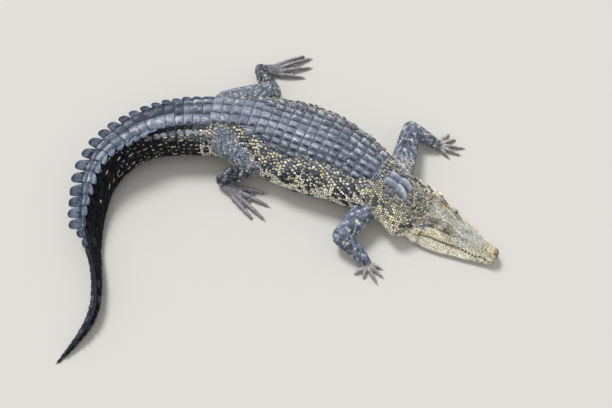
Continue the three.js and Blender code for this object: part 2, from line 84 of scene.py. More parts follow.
BODY_KEYS = "half high widest over under roll shift"
BODY_ROWS = (  # distance from the snout, then the section's sizes in the order of the keys
    (280, 96, 91, 0.4, 1.9, 2.5, 9, 0), (300, 107, 95, 0.4, 2, 2.5, 9, -6),
    (330, 119, 103, 0.4, 2.1, 2.5, 10, -10), (390, 109, 120, 0.4, 2.1, 2.6, 13, -3),
    (460, 116, 138, 0.42, 2.1, 2.7, 10, 0), (580, 141, 158, 0.42, 2.15, 2.8, 6, 0),
    (700, 158, 168, 0.42, 2.2, 2.8, 3, 0), (780, 160, 168, 0.42, 2.2, 2.8, 2, 0),
    (890, 141, 164, 0.43, 2.25, 2.8, 3, 0), (1035, 108, 156, 0.45, 2.35, 2.6, 5, -4),
    (1130, 107, 151, 0.46, 2.5, 2.5, 10, -8), (1240, 98, 144, 0.48, 2.7, 2.5, 14, -8),
    (1320, 86, 139, 0.48, 2.7, 2.5, 18, -6), (1393, 75, 134, 0.5, 2.8, 2.5, 23, -3),
    (1456, 66, 129, 0.5, 2.8, 2.5, 28, 0), (1520, 54, 119, 0.5, 2.8, 2.5, 33, 0),
    (1575, 43, 106, 0.5, 2.8, 2.5, 37, -2), (1630, 35, 90, 0.5, 2.7, 2.5, 40, -5),
    (1690, 28, 80, 0.5, 2.6, 2.5, 38, -5), (1745, 24, 72, 0.5, 2.5, 2.4, 30, -3),
    (1815, 19, 65, 0.5, 2.4, 2.4, 14, 0), (1890, 17.5, 61, 0.5, 2.3, 2.3, -4, 0),
    (1960, 17, 54, 0.5, 2.3, 2.3, -14, 0), (2030, 16, 46, 0.5, 2.3, 2.3, -22, 0),
    (2085, 13, 35, 0.5, 2.2, 2.2, -22, 0), (2140, 9, 22, 0.5, 2.1, 2.1, -14, 0),
    (LENGTH, 2.5, 6, 0.5, 2, 2, 0, 0),
)

HEAD_KEYS = "upper lower high mouth chin"
HEAD_ROWS = (
    (0, 14, 12, 46, 31, 21), (8, 22, 22, 55, 30, 15), (22, 28, 31, 59, 30, 12), (40, 27, 39, 56, 34, 11),
    (62, 34, 46, 56, 32, 10), (85, 38, 55, 58, 33, 8), (120, 42, 66, 64, 36, 7), (160, 52, 79, 75, 38, 5),
    (190, 60, 88, 88, 41, 3), (215, 66, 93, 93, 46, 2), (250, 80, 97, 95, 52, 1), (280, 92, 101, 92, 56, 0),
)

CREST_KEYS = "high angle"
CREST_ROWS = (  # height of the crest's scutes and the angle between their row and the dorsal line
    (1035, 9, 36), (1095, 10, 35), (1250, 17, 30), (1400, 26, 26), (1500, 34, 20),
    (1690, 45, 11), (1730, 40, 9), (1790, 26, 0), (2150, 9, 0),
)


NOSTRIL = ((9.5, 3.6), (13.5, 7.0))  # the slit's two ends, as distance from the snout and offset
TOOTH_PITCH = 11.5  # from one big tooth to the next along the lips


# ---------------------------------------------------------------- maths on whole arrays

def smoothstep(value: Array, low: float, high: float) -> Array:
    """0 below `low`, 1 above `high`, and a smooth S between them."""
    t = np.clip((value - low) / (high - low), 0, 1)
    return t * t * (3 - 2 * t)


def fall(value: Array, low: float, high: float) -> Array:
    """1 below `low`, 0 above `high`, and a smooth S between them."""
    return 1 - smoothstep(value, low, high)


def window(value: Array, low: float, start: float, end: float, high: float) -> Array:
    """1 from `start` to `end`, 0 below `low` and above `high`, and a smooth S on each side."""
    return smoothstep(value, low, start) * fall(value, end, high)


def bell(*parts: Array) -> Array:
    """1 where every part is 0, and less away from it: the exponential of minus the sum of their squares."""
    return np.exp(-sum(part**2 for part in parts))


def mix(a: Array, b: Array, share: Array) -> Array:
    """`a` where share is 0 and `b` where it is 1, in a straight line between."""
    return a + (b - a) * share


def signed_power(value: Array, power: Array) -> Array:
    """|value| to a power, with the sign of value."""
    return np.sign(value) * np.abs(value) ** power


def unit(vectors: Array) -> Array:
    """Vectors scaled to length 1."""
    return vectors / np.maximum(np.linalg.norm(vectors, axis=-1, keepdims=True), 1e-12)


def ridge(at: Array, off: Array, start: tuple[float, float], end: tuple[float, float], wide: float) -> Array:
    """A soft ridge along a straight line: a bell over the distance to the segment.

    Args:
        at: distances from the snout.
        off: distances from the head's own middle line.
        start: the segment's first end, as (at, off).
        end: its other end.
        wide: the bell's width.

    Returns:
        A value from 0 to 1 at each place.
    """
    run = np.array(end) - np.array(start)
    t = ((at - start[0]) * run[0] + (off - start[1]) * run[1]) / (run @ run)
    t = np.clip(t, 0, 1)
    gap = (at - start[0] - t * run[0]) ** 2 + (off - start[1] - t * run[1]) ** 2
    return np.exp(-gap / wide**2)


Line = tuple[tuple[float, float], tuple[float, float], float, float]


def ridges(at: Array, off: Array, *lines: Line) -> Array:
    """The sum of several ridges, each given as its start, end, width and height."""
    return sum(high * ridge(at, off, start, end, wide) for start, end, wide, high in lines)


def lattice_hash(cells: Array, seed: int) -> Array:
    """A repeatable number from 0 to 1 for each cell: its whole-number coordinates, multiplied and folded."""
    mixed = cells.astype(np.int64) @ np.array([73856093, 19349663, 83492791]) + seed * 2654435761
    mixed = (mixed ^ (mixed >> 13)) * 1274126177
    mixed = mixed ^ (mixed >> 16)
    return (mixed & 0xFFFFFF) / float(0xFFFFFF)


def noise(points: Array, size: float, seed: int, octaves: int = 1) -> Array:
    """Smooth value noise: cell corners get random heights, blended by S curves, and finer layers count half.

    Args:
        points: places, in the last axis of length 3.
        size: the width of one cell of the coarsest layer, in the points' own units.
        seed: picks one pattern.
        octaves: how many layers are added.

    Returns:
        Values from 0 to 1, without the last axis.
    """
    total = np.zeros(points.shape[:-1])
    weight = 0.0
    for octave in range(octaves):
        scaled = points / (size / 2**octave)
        cell = np.floor(scaled)
        t = scaled - cell
        t = t * t * (3 - 2 * t)
        layer = np.zeros_like(total)
        for corner in np.ndindex(2, 2, 2):
            share = np.prod(np.where(np.array(corner) == 1, t, 1 - t), axis=-1)
            layer += share * lattice_hash(cell + np.array(corner), seed + octave)
        total += layer / 2**octave
        weight += 1 / 2**octave
    return total / weight


class Rows:
    """Values given at stations along a line, joined by a monotone cubic that never overshoots."""

    def __init__(self, keys: str, rows: Sequence[Sequence[float]]) -> None:
        """Keep the stations and one column of values, with its slopes, for each key."""
        table = np.array(rows, dtype=float)
        self.at = table[:, 0]
        self.values = dict(zip(keys.split(), table[:, 1:].T))
        self.slopes = {key: self._slope(column) for key, column in self.values.items()}

    def _slope(self, column: Array) -> Array:
        """The harmonic mean of the slopes on both sides, and 0 at a turning point."""
        rise = np.diff(column) / np.diff(self.at)
        before, after = rise[:-1], rise[1:]
        total = np.where(before * after > 0, before + after, 1.0)
        inner = np.where(before * after > 0, 2 * before * after / total, 0.0)
        return np.concatenate(([rise[0]], inner, [rise[-1]]))

    def __call__(self, key: str, at: Array) -> Array:
        """The value of one key at each distance."""
        place = np.clip(at, self.at[0], self.at[-1])
        i = np.clip(np.searchsorted(self.at, place, side="right") - 1, 0, len(self.at) - 2)
        span = self.at[i + 1] - self.at[i]
        t = (place - self.at[i]) / span
        value, slope = self.values[key], self.slopes[key]
        rising = value[i] * (1 + 2 * t) * (1 - t) ** 2 + value[i + 1] * t * t * (3 - 2 * t)
        bending = slope[i] * span * t * (1 - t) ** 2 + slope[i + 1] * span * t * t * (t - 1)
        return rising + bending


BODY = Rows(BODY_KEYS, BODY_ROWS)
HEAD = Rows(HEAD_KEYS, HEAD_ROWS)
CREST = Rows(CREST_KEYS, CREST_ROWS)


class Midline:
    """The line under the middle of the body, made of arcs that run on from each other."""

    def __init__(self) -> None:
        """Work out where each arc starts."""
        self.length, self.turn = (np.array(column, dtype=float) for column in zip(*ARCS))
        self.start = np.concatenate(([0.0], np.cumsum(self.length)[:-1]))
        self.heading = SNOUT[2] + np.concatenate(([0.0], np.cumsum(self.turn)[:-1]))
        steps = self._chord(self.length, np.arange(len(self.length)))
        self.place = np.array(SNOUT[:2]) + np.concatenate((np.zeros((1, 2)), np.cumsum(steps, axis=0)[:-1]))

    def _chord(self, run: Array, arc: Array) -> Array:
        """The straight step from an arc's start: its length is run times sin(half turn) over half turn."""
        turned = np.radians(self.turn[arc] * run / self.length[arc])
        heading = np.radians(self.heading[arc]) + turned / 2
        chord = run * np.sinc(turned / TAU)
        return -chord[..., None] * np.stack([np.cos(heading), np.sin(heading)], axis=-1)

    def __call__(self, at: Array) -> tuple[Array, Array]:
        """The midline's places and leftward directions, flat on the floor, at distances from the snout."""
        at = np.asarray(at, dtype=float)
        arc = np.clip(np.searchsorted(self.start, at, side="right") - 1, 0, len(self.start) - 1)
        run = at - self.start[arc]
        centre = self.place[arc] + self._chord(run, arc)
        heading = np.radians(self.heading[arc] + self.turn[arc] * run / self.length[arc])
        return centre, np.stack([-np.sin(heading), np.cos(heading)], axis=-1)


MIDLINE = Midline()


def on_section(at: Array, off: Array, high: Array) -> Array:
    """Points at a distance along the midline, an offset to its left and a height, in the drawing frame."""
    centre, side = MIDLINE(at)
    flat = centre + side * off[..., None]
    return np.concatenate([flat, np.broadcast_to(high, off.shape)[..., None]], axis=-1)


class GirthTable:
    """Sections measured round their outline, from the crown to the belly line on either side."""

    TURNS = 361
    SHARES = 201

    def __init__(self, stations: Array, turn: Array, off: Array, high: Array) -> None:
        """Add up each outline's steps, and tabulate the turn at even shares of the girth.

        Args:
            stations: evenly spaced distances from the snout.
            turn: the outline's angles or shares of a turn, from the right belly line round to the left one.
            off: offsets of the outline's points, as [station, turn].
            high: their heights.
        """
        self.stations = stations
        steps = np.hypot(np.diff(off, axis=1), np.diff(high, axis=1))
        girth = np.concatenate([np.zeros((len(steps), 1)), np.cumsum(steps, axis=1)], axis=1)
        girth -= girth[:, [len(turn) // 2]]
        self.right, self.left = -girth[:, 0], girth[:, -1]
        self.shares = np.linspace(-1, 1, self.SHARES)
        self.turns = np.stack([
            np.interp(self.shares, run / np.where(turn < 0, right, left), turn)
            for run, right, left in zip(girth, self.right, self.left)
        ])

    def side(self, at: Array, arc: Array) -> Array:
        """The girth on the side of each arc."""
        left, right = (np.interp(at, self.stations, column) for column in (self.left, self.right))
        return np.where(arc >= 0, left, right)

    def row(self, at: Array) -> Array:
        """How far down the table's rows a distance lies."""
        first, last = self.stations[0], self.stations[-1]
        return np.clip((at - first) / (last - first), 0, 1) * (len(self.stations) - 1)

    def turn_at(self, at: Array, share: Array) -> Array:
        """The turn at a share of the girth, from -1 to 1, read between four places of the table."""
        row, column = self.row(at), (np.clip(share, -1, 1) + 1) * (self.SHARES - 1) / 2
        i = np.minimum(row.astype(int), len(self.turns) - 2)
        j = np.minimum(column.astype(int), self.SHARES - 2)
        u, v = row - i, column - j
        low = mix(self.turns[i, j], self.turns[i, j + 1], v)
        return mix(low, mix(self.turns[i + 1, j], self.turns[i + 1, j + 1], v), u)

    def arc_at(self, at: Array, turn: Array) -> Array:
        """The length round from the crown at a turn: the nearest row read backwards."""
        rows = np.rint(self.row(at)).astype(int)
        share = [np.interp(one, self.turns[row], self.shares) for row, one in zip(rows, turn)]
        return np.array(share) * self.side(at, turn)


# ---------------------------------------------------------------- head and body as surfaces

@dataclass
class Head:
    """The head's outside, as rings at distances from the snout that run from the crown round by the left."""

    length: float = 280
    lean: float = 0.15  # the crown stands this share of its height to the animal's left
    lip: float = 0.30  # the share of a half ring's turn that the upper jaw takes
    cap: float = 22  # the rounded end of the snout
    cap_high: float = 33
    inset: float = 1.0
    eye_at: float = 193
    eye_off: float = 30
    eye_high: float = 88.5
    eye_radius: float = 10.5
    table_front: float = 204
    table_back: float = 262
    table_high: float = 97

    def place(self, at: Array, off: Array, high: Array) -> Array:
        """Points of the head in the drawing frame, with its lean."""
        return on_section(at, off + high * self.lean, high)

    def table_half(self, at: Array) -> Array:
        """Half the skull table's width, which grows from front to back."""
        return mix(21.0, 33.0, (at - self.table_front) / (self.table_back - self.table_front))

    def table_share(self, at: Array, off: Array) -> Array:
        """1 on the flat skull table, 0 off it."""
        edge = smoothstep(self.table_half(at) + 5 - np.abs(off), 0, 5)
        return edge * smoothstep(at, self.table_front - 12, self.table_front + 8) \
            * fall(at, self.table_back - 2, self.table_back + 9)

    def crown(self, at: Array, off: Array, half: Array) -> Array:
        """The height of the top of the head: a vault over the lips, the flat table, orbits and the relief.

        Args:
            at: distances from the snout.
            off: offsets from the head's middle line.
            half: the half width at the lips.

        Returns:
            Heights above the floor.
        """
        share = np.clip(np.abs(off) / half, 0, 1)
        mouth = HEAD("mouth", at)
        high = mouth + (HEAD("high", at) - self.inset - mouth) * (1 - share**2.6) ** 0.62
        table = self.table_share(at, off)
        high = mix(high, self.table_high - self.inset, table * 0.96)
        wide = np.abs(off)
        open_bone = 1 - table
        orbit = bell((at - self.eye_at) / 20, (wide - 27) / 13)
        high = high + 15 * orbit * open_bone - 3 * bell((at - self.eye_at) / 16, off / 9)
        return high + self.snout_relief(at, off, wide) + self.rear_relief(at, wide, table)

    def snout_relief(self, at: Array, off: Array, wide: Array) -> Array:
        """Heights added on the snout: nostril mound and slits, ridges before the eyes, a boss and hollows."""
        mound = 4.5 * bell((at - 14) / 11, off / 14)
        slits = 4.2 * ridge(at, wide, *NOSTRIL, 1.7)
        brows = ridges(at, wide, ((176, 19), (118, 17), 4.2, 3.4), ((118, 17), (70, 9), 5, 1.6))
        hollow = 1.8 * ridge(at, wide, (168, 31), (122, 27), 6)
        boss = 1.8 * bell((at - 96) / 16, off / 9)
        dip = 1.4 * bell((at - 46) / 11, off / 16)
        return mound - slits + brows - hollow + boss - dip

    def rear_relief(self, at: Array, wide: Array, table: Array) -> Array:
        """Heights added behind the eyes: the table's rims and hollows, ear slits and flaps, brow ridges."""
        rim = 2.0 * table * smoothstep(wide, self.table_half(at) - 6, self.table_half(at))
        hollows = 1.6 * bell((at - 232) / 13, (wide - 13) / 7)
        ears = 4.0 * ridge(at, wide, (212, 32), (252, 42), 2.0)
        flap = 1.8 * ridge(at, wide, (214, 38), (250, 48), 3.5)
        brow = 2.2 * ridge(at, wide, (206, 17), (180, 15), 2.6)
        fold = 1.5 * ridge(at, wide, (176, 38), (212, 45), 2.0)
        return rim - hollows - ears + flap + brow - fold

    def ring(self, at: Array, turn: Array) -> tuple[Array, Array]:
        """Offset and height of the head's outside.

        The upper jaw is the crown over the lips' width; the lower one swells out below the lips, and turns in
        to a flat chin. The first millimetres are drawn in about one point to a round snout.

        Args:
            at: distances from the snout.
            turn: the share of a full turn from the crown, positive to the left, from -0.5 to 0.5.

        Returns:
            Offsets and heights.
        """
        front = np.clip(at / self.cap, 0, 1)
        shrink = (1 - (1 - front) ** 2.2) ** (1 / 2.2)
        at = np.maximum(at, self.cap)
        sign, turn = np.sign(turn), np.abs(turn)
        half, lower = HEAD("upper", at) - self.inset, HEAD("lower", at) - self.inset
        mouth, chin = HEAD("mouth", at), HEAD("chin", at)
        above = np.clip(turn / self.lip, 0, 1)
        off_up = half * np.sin(above * math.pi / 2)
        high_up = self.crown(at, sign * off_up, half)
        share = np.clip((0.5 - turn) / (0.5 - self.lip), 0, 1)
        widest = mix(chin, mouth, 0.38)
        down = np.clip((1 - share) / 0.4, 0, 1)
        angle = np.clip(share / 0.6, 0, 1) * math.pi / 2
        off_low = np.where(share >= 0.6, mix(half, lower, down**0.7), lower * np.sin(angle) ** 0.8)
        high_low = np.where(
            share >= 0.6, mix(mouth, widest, down), widest - (widest - chin) * np.cos(angle) ** 0.7
        )
        upper = turn <= self.lip
        off, high = np.where(upper, off_up, off_low), np.where(upper, high_up, high_low)
        off = off + self.lip_relief(at, turn, upper)
        return sign * off * shrink, self.cap_high + (high - self.cap_high) * shrink

    def lip_relief(self, at: Array, turn: Array, upper: Array) -> Array:
        """How far the lips stand out: festoons over the big teeth, with a groove where the jaws meet."""
        gap = (turn - self.lip) * 360
        groove = 2.6 * bell(gap / 2.2) * fall(at, 262, 285)
        toothed = fall(at, 135, 175)
        scallop = 1.3 * np.cos(at / TOOTH_PITCH * TAU) * bell((gap + 7) / 7) * toothed
        return scallop * upper - groove

    @property
    def eye_centre(self) -> Array:
        """The middle of the left eye in the drawing frame."""
        return self.place(np.array(self.eye_at), np.array(self.eye_off), np.array(self.eye_high))


HEAD_SHAPE = Head()


@dataclass
class Body:
    """The neck, trunk and tail as superellipse sections that roll and shift along the midline."""

    inset: float = 2.5  # how far the skin lies inside the outline, so that the scales reach it
    sink: float = 1.5  # how far the underside would reach below the floor
    blend_from: float = 262
    blend_to: float = 322
    stations: Array = field(init=False)
    rise: Array = field(init=False)
    table: GirthTable = field(init=False)

    def __post_init__(self) -> None:
        """Tabulate how high each section sits, and its girth."""
        self.stations = np.linspace(self.blend_from, LENGTH, 260)
        angle = np.linspace(-math.pi, math.pi, GirthTable.TURNS)
        off, high = self.section(self.stations[:, None], angle[None], 0)
        self.rise = -self.sink - high.min(axis=1)
        self.table = GirthTable(self.stations, angle, off, high)

    def section(self, at: Array, angle: Array, inset: float) -> tuple[Array, Array]:
        """Offset and height in a section, about its widest line's middle: a superellipse, then the roll."""
        half = BODY("half", at) - inset
        full = BODY("high", at)
        upper = np.cos(angle) > 0
        rise = np.where(upper, full * (1 - BODY("widest", at)) - inset, full * BODY("widest", at))
        power = 2 / np.where(upper, BODY("over", at), BODY("under", at))
        a = half * signed_power(np.sin(angle), power)
        b = rise * signed_power(np.cos(angle), power)
        roll = np.radians(BODY("roll", at))
        return a * np.cos(roll) + b * np.sin(roll), b * np.cos(roll) - a * np.sin(roll)

    def ring(self, at: Array, angle: Array) -> tuple[Array, Array]:
        """Offset from the midline and height above the floor of the skin."""
        off, high = self.section(at, angle, self.inset)
        return off + BODY("shift", at), high + np.interp(at, self.stations, self.rise)

    def point(self, at: Array, angle: Array) -> Array:
        """The skin from snout to tail: the head's rings turn into the body's over a short stretch."""
        off, high = self.ring(at, angle)
        turn = (angle / TAU + 0.5) % 1 - 0.5
        head_off, head_high = HEAD_SHAPE.ring(at, turn)
        share = smoothstep(at, self.blend_from, self.blend_to)
        off = mix(head_off + head_high * HEAD_SHAPE.lean, off, share)
        return on_section(at, off, mix(head_high, high, share))

    def girth(self, at: Array, arc: Array) -> Array:
        """The length round the section from the dorsal line to the belly line, on the side of each arc."""
        return self.table.side(at, arc)

    def on_girth(self, at: Array, arc: Array) -> Array:
        """Points of the skin at distances from the snout and lengths round from the dorsal line."""
        return self.point(at, self.table.turn_at(at, arc / self.girth(at, arc)))

    def coordinates(self, points: Array) -> tuple[Array, Array, Array]:
        """Where points lie on the body, by the nearest place of a finely stepped midline.

        Args:
            points: places in the drawing frame.

        Returns:
            Distances from the snout, section angles from the dorsal line, and how far out each point lies, as
            a share of the way to the skin.
        """
        steps = np.linspace(0, LENGTH, 1200)
        centre, side = MIDLINE(steps)
        near = np.concatenate([
            np.argmin(((part[:, None, :2] - centre[None]) ** 2).sum(axis=2), axis=1)
            for part in np.array_split(points, max(1, len(points) // 4000))
        ])
        at = steps[near]
        off = ((points[:, :2] - centre[near]) * side[near]).sum(axis=1) - BODY("shift", at)
        high = points[:, 2] - np.interp(at, self.stations, self.rise)
        roll = np.radians(BODY("roll", at))
        a = off * np.cos(roll) - high * np.sin(roll)
        b = high * np.cos(roll) + off * np.sin(roll)
        half, full = BODY("half", at) - self.inset, BODY("high", at)
        above = full * (1 - BODY("widest", at)) - self.inset
        x = a / half
        y = b / np.where(b > 0, above, full * BODY("widest", at))
        power = np.where(b > 0, BODY("over", at), BODY("under", at)) / 2
        angle = np.arctan2(signed_power(x, power), signed_power(y, power))
        out = (np.abs(x) ** (2 * power) + np.abs(y) ** (2 * power)) ** (0.5 / power)
        return at, angle, out


BODY_SHAPE = Body()

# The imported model's frame is the drawing frame moved along the floor, so that the left eye meets its solid.
_low, _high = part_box("eye_left")
TO_MODEL = ((np.array(_low) + np.array(_high)) / 2 / MM - HEAD_SHAPE.eye_centre) * [1, 1, 0]


def metres(points: Array) -> Array:
    """Drawing-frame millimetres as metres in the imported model's frame, never below the floor."""
    moved = (points + TO_MODEL) * MM
    moved[..., 2] = np.maximum(points[..., 2] * MM, 0)
    return moved


BOX = np.array(CAD_BOX)
BOX_EDGE = 0.0004


def within(points: Array) -> Array:
    """Points kept inside the solids' box, their tops eased in under its lid by a hyperbolic tangent."""
    lid, ease = BOX[1, 2] - BOX_EDGE, 0.004
    over = np.maximum(points[..., 2] - (lid - ease), 0)
    high = np.minimum(points[..., 2], lid - ease) + ease * np.tanh(over / ease)
    flat = np.clip(points[..., :2], BOX[0, :2] + BOX_EDGE, BOX[1, :2] - BOX_EDGE)
    return np.concatenate([flat, np.maximum(high, 0)[..., None]], axis=-1)


# ---------------------------------------------------------------- limbs as surfaces

@dataclass(frozen=True)
class Capsule:
    """A tapered round-ended bar from one joint to the next, flattened, swollen or arched midway."""

    start: tuple[float, float, float]
    end: tuple[float, float, float]
    start_radius: float
    end_radius: float
    flat: float = 1.0
    swell: float = 0.0
    arch: float = 0.0
    knuckles: float = 0.0  # how far three joints swell along a digit
    inset: float = 1.5

    @property
    def length(self) -> float:
        """The distance between the two joints."""
        return float(np.linalg.norm(np.subtract(self.end, self.start)))

    def directions(self) -> tuple[Array, Array, Array]:
        """The bar's axis, the level direction across it and the direction upright to both."""
        axis = unit(np.subtract(self.end, self.start).astype(float))
        level = unit(np.cross([0.0, 0.0, 1.0], axis))
        return axis, level, np.cross(axis, level)

    def radius(self, t: Array) -> Array:
        """The bar's radius at a share of its length."""
        plain = mix(self.start_radius, self.end_radius, t) + self.swell * np.sin(math.pi * t)
        return plain * (1 + self.knuckles * np.cos(t * 3 * TAU)) - self.inset

    def point(self, run: Array, angle: Array) -> Array:
        """Points of the surface.

        Args:
            run: the share of the length from joint to joint; below 0 and above 1 it goes round the end caps,
                and is the angle past the joint in quarter turns.
            angle: the angle round the axis from the upright direction.

        Returns:
            Places in the drawing frame.
        """
        axis, level, upright = self.directions()
        t = np.clip(run, 0, 1)
        over = np.clip(run - t, -1, 1) * math.pi / 2
        radius = self.radius(t)
        middle = np.asarray(self.start) + t[..., None] * np.subtract(self.end, self.start)
        middle = middle + axis * (np.sin(over) * radius)[..., None]
        round_radius = radius * np.cos(over)
        rise = np.cos(angle) * round_radius * self.flat + self.arch * np.sin(math.pi * t)
        return middle + level * (np.sin(angle) * round_radius)[..., None] + upright * rise[..., None]

    def past(self, run: Array) -> Array:
        """How far a run goes past either joint, in quarter turns round the end cap."""
        t = run / self.length
        inside = np.clip(t, 0, 1)
        return np.clip((t - inside) * self.length / (self.radius(inside) * math.pi / 2), -0.94, 0.94)

    def ring_radius(self, run: Array) -> Array:
        """The radius of the ring at a run, which shrinks round the end caps."""
        return self.radius(np.clip(run / self.length, 0, 1)) * np.cos(self.past(run) * math.pi / 2)

    def on_girth(self, run: Array, arc: Array) -> Array:
        """Points at millimetres from the first joint and millimetres round from the upright direction."""
        inside = np.clip(run / self.length, 0, 1)
        return self.point(inside + self.past(run), arc / self.ring_radius(run))

    def rings(self, along: int, around: int, cap: int = 5) -> Array:
        """A grid of points over the whole bar, from one cap's pole to the other's."""
        caps = np.linspace(0, 1, cap + 1)[1:-1]
        run = np.concatenate([-caps[::-1], np.linspace(0, 1, along), 1 + caps])
        angle = np.arange(around) / around * TAU
        return self.point(run[:, None], angle[None] + 0 * run[:, None])

    def poles(self) -> tuple[Array, Array]:
        """The outermost points of the two caps."""
        ends = self.point(np.array([-1.0, 2.0]), np.zeros(2))
        return ends[0], ends[1]


@dataclass(frozen=True)
class Extremity:
    """The make of a hand or foot, in millimetres."""

    palm_half: float
    reach: float
    digit: float
    arch: float
    claw: float
    web: float


HAND = Extremity(22, 28, 6.4, 4, 13, 0)
FOOT = Extremity(27, 74, 7.4, 5, 16, 66)


def reach_out(start: Sequence[float], heading: float, run: float, high: float) -> tuple[float, float, float]:
    """A point reached from another by a heading in degrees and a run, at a height."""
    turned = math.radians(heading)
    return start[0] + run * math.cos(turned), start[1] + run * math.sin(turned), high


@dataclass(frozen=True)
class Limb:
    """One leg: its joints in the drawing frame, its radii, and its digits counted from the inner side."""

    name: str
    nodes: tuple[str, str, str]
    build: Extremity
    root: tuple[float, float, float]
    knee: tuple[float, float, float]
    ankle: tuple[float, float, float]
    radii: tuple[float, float, float, float]
    heading: float
    digits: tuple[tuple[float, float, bool], ...]

    @property
    def upper(self) -> Capsule:
        """The upper arm or thigh."""
        return Capsule(self.root, self.knee, self.radii[0], self.radii[1], flat=0.92, swell=3)

    @property
    def lower(self) -> Capsule:
        """The forearm or shank."""
        return Capsule(self.knee, self.ankle, self.radii[2], self.radii[3], flat=0.94, swell=2)

    @property
    def palm(self) -> Capsule:
        """The palm or sole, low and broad."""
        front = reach_out(self.ankle, self.heading, self.build.reach - 6, self.build.digit + 1)
        wide = self.build.palm_half * 0.96
        return Capsule(self.ankle, front, self.radii[3] * 0.92, wide, flat=0.5, inset=1)

    def knuckle(self, index: int) -> tuple[float, float, float]:
        """Where a digit leaves the palm."""
        inner = 1 if self.name.endswith("right") else -1
        across = inner * (1 - 2 * index / (len(self.digits) - 1)) * self.build.palm_half * 0.82
        front = reach_out(self.ankle, self.heading, self.build.reach - abs(across) * 0.35, 0)
        return reach_out(front, self.heading + 90, across, self.build.digit + 2)

    def digit(self, index: int) -> Capsule:
        """One finger or toe, arched over the floor."""
        heading, length, _ = self.digits[index]
        start, thick = self.knuckle(index), self.build.digit
        tip = reach_out(start, heading, length - thick * 0.6, thick * 0.6)
        return Capsule(
            start, tip, thick * 1.2, thick * 0.72, arch=self.build.arch, knuckles=0.07, inset=0.5,
        )

    def toes(self) -> list[Capsule]:
        """All digits."""
        return [self.digit(index) for index in range(len(self.digits))]

    def claw_roots(self) -> list[tuple[tuple[float, float, float], float]]:
        """Where each claw starts, and its heading."""
        thick = self.build.digit
        return [
            (reach_out(self.knuckle(k), heading, length - thick * 0.7, thick * 0.7), heading)
            for k, (heading, length, clawed) in enumerate(self.digits) if clawed
        ]

    def cad_nodes(self) -> list[str]:
        """The names of the solids that the skin of this leg stands for."""
        return [f"{node}_{self.name}" for node in self.nodes]


ARM = ("upper_arm", "forearm", "hand")
LEG = ("thigh", "shank", "foot")
LIMBS = (
    Limb("front_right", ARM, HAND, (258, 18, 76), (118, -143, 58), (193, -211, 22),
         (42, 31, 32, 19), -64,
         ((-26, 30, True), (-42, 50, True), (-62, 55, True), (-99, 35, False), (-148, 32, False))),
    Limb("front_left", ARM, HAND, (324, 88, 70), (370, 262, 58), (460, 222, 22),
         (42, 30, 28, 19), 2,
         ((-50, 32, True), (-23, 60, True), (-6, 69, True), (20, 55, False), (43, 46, False))),
    Limb("rear_right", LEG, FOOT, (-282, 198, 100), (-164, 120, 76), (-292, 78, 28),
         (57, 45, 36, 23), -37, ((-12, 81, True), (-27, 107, True), (-43, 126, True), (-49, 104, False))),
    Limb("rear_left", LEG, FOOT, (-272, 340, 92), (-126, 408, 68), (-168, 534, 28),
         (54, 37, 34, 22), 8, ((-5, 84, True), (10, 109, True), (22, 119, True), (24, 109, False))),
)


# ---------------------------------------------------------------- meshes

def mesh_of(name: str, points: Array, faces: Sequence[Array]) -> bpy.types.Mesh:
    """A mesh from points in metres and faces in arrays that each hold faces of one number of corners."""
    made = bpy.data.meshes.new(name)
    corners = np.concatenate([part.ravel() for part in faces]).astype(np.int32)
    sizes = np.concatenate([np.full(len(part), part.shape[1]) for part in faces])
    starts = np.concatenate(([0], np.cumsum(sizes)[:-1])).astype(np.int32)
    made.vertices.add(len(points))
    made.loops.add(len(corners))
    made.polygons.add(len(sizes))
    made.vertices.foreach_set("co", np.ascontiguousarray(points, dtype=np.float32).ravel())
    made.loops.foreach_set("vertex_index", corners)
    made.polygons.foreach_set("loop_start", starts)
    made.polygons.foreach_set("use_smooth", np.ones(len(sizes), dtype=bool))
    made.update(calc_edges=True)
    made.validate()
    return made


def object_of(mesh: bpy.types.Mesh) -> bpy.types.Object:
    """A scene object for a mesh, at the origin."""
    made = bpy.data.objects.new(mesh.name, mesh)
    bpy.context.scene.collection.objects.link(made)
    return made


def facing_out(points: Array, faces: list[Array]) -> list[Array]:
    """The faces of a closed body, turned round where their signed volume shows that they face inwards."""
    volume = 0.0
    for face in faces:
        for k in range(1, face.shape[1] - 1):
            a, b, c = points[face[:, 0]], points[face[:, k]], points[face[:, k + 1]]
            volume += float(np.einsum("ij,ij->", a, np.cross(b, c)))
    return faces if volume > 0 else [face[:, ::-1] for face in faces]


def loft(rings: Array, poles: tuple[Array, Array] | None = None) -> tuple[Array, list[Array]]:
    """The points and outward faces of a tube of rings, closed at each end by a fan about a pole.

    Args:
        rings: points as [ring, place round it, 3].
        poles: the two end points, or nothing for the middles of the end rings.

    Returns:
        Points, and arrays of quads and triangles.
    """
    count, around = rings.shape[:2]
    first, last = poles if poles is not None else (rings[0].mean(axis=0), rings[-1].mean(axis=0))
    points = np.concatenate([rings.reshape(-1, 3), [first], [last]])
    index = np.arange(count * around).reshape(count, around)
    turned = np.roll(index, -1, axis=1)
    quads = np.stack([index[:-1], turned[:-1], turned[1:], index[1:]], axis=-1).reshape(-1, 4)
    fans = [
        np.stack([turned[0], index[0], np.full(around, count * around)], axis=-1),
        np.stack([index[-1], turned[-1], np.full(around, count * around + 1)], axis=-1),
    ]
    return points, facing_out(points, [quads, np.concatenate(fans)])


def joined(parts: Sequence[tuple[Array, list[Array]]]) -> tuple[Array, list[Array]]:
    """Several bodies' points and faces as one list of each."""
    points, faces, base = [], [], 0
    for part_points, part_faces in parts:
        points.append(part_points)
        faces.extend(face + base for face in part_faces)
        base += len(part_points)
    return np.concatenate(points), faces


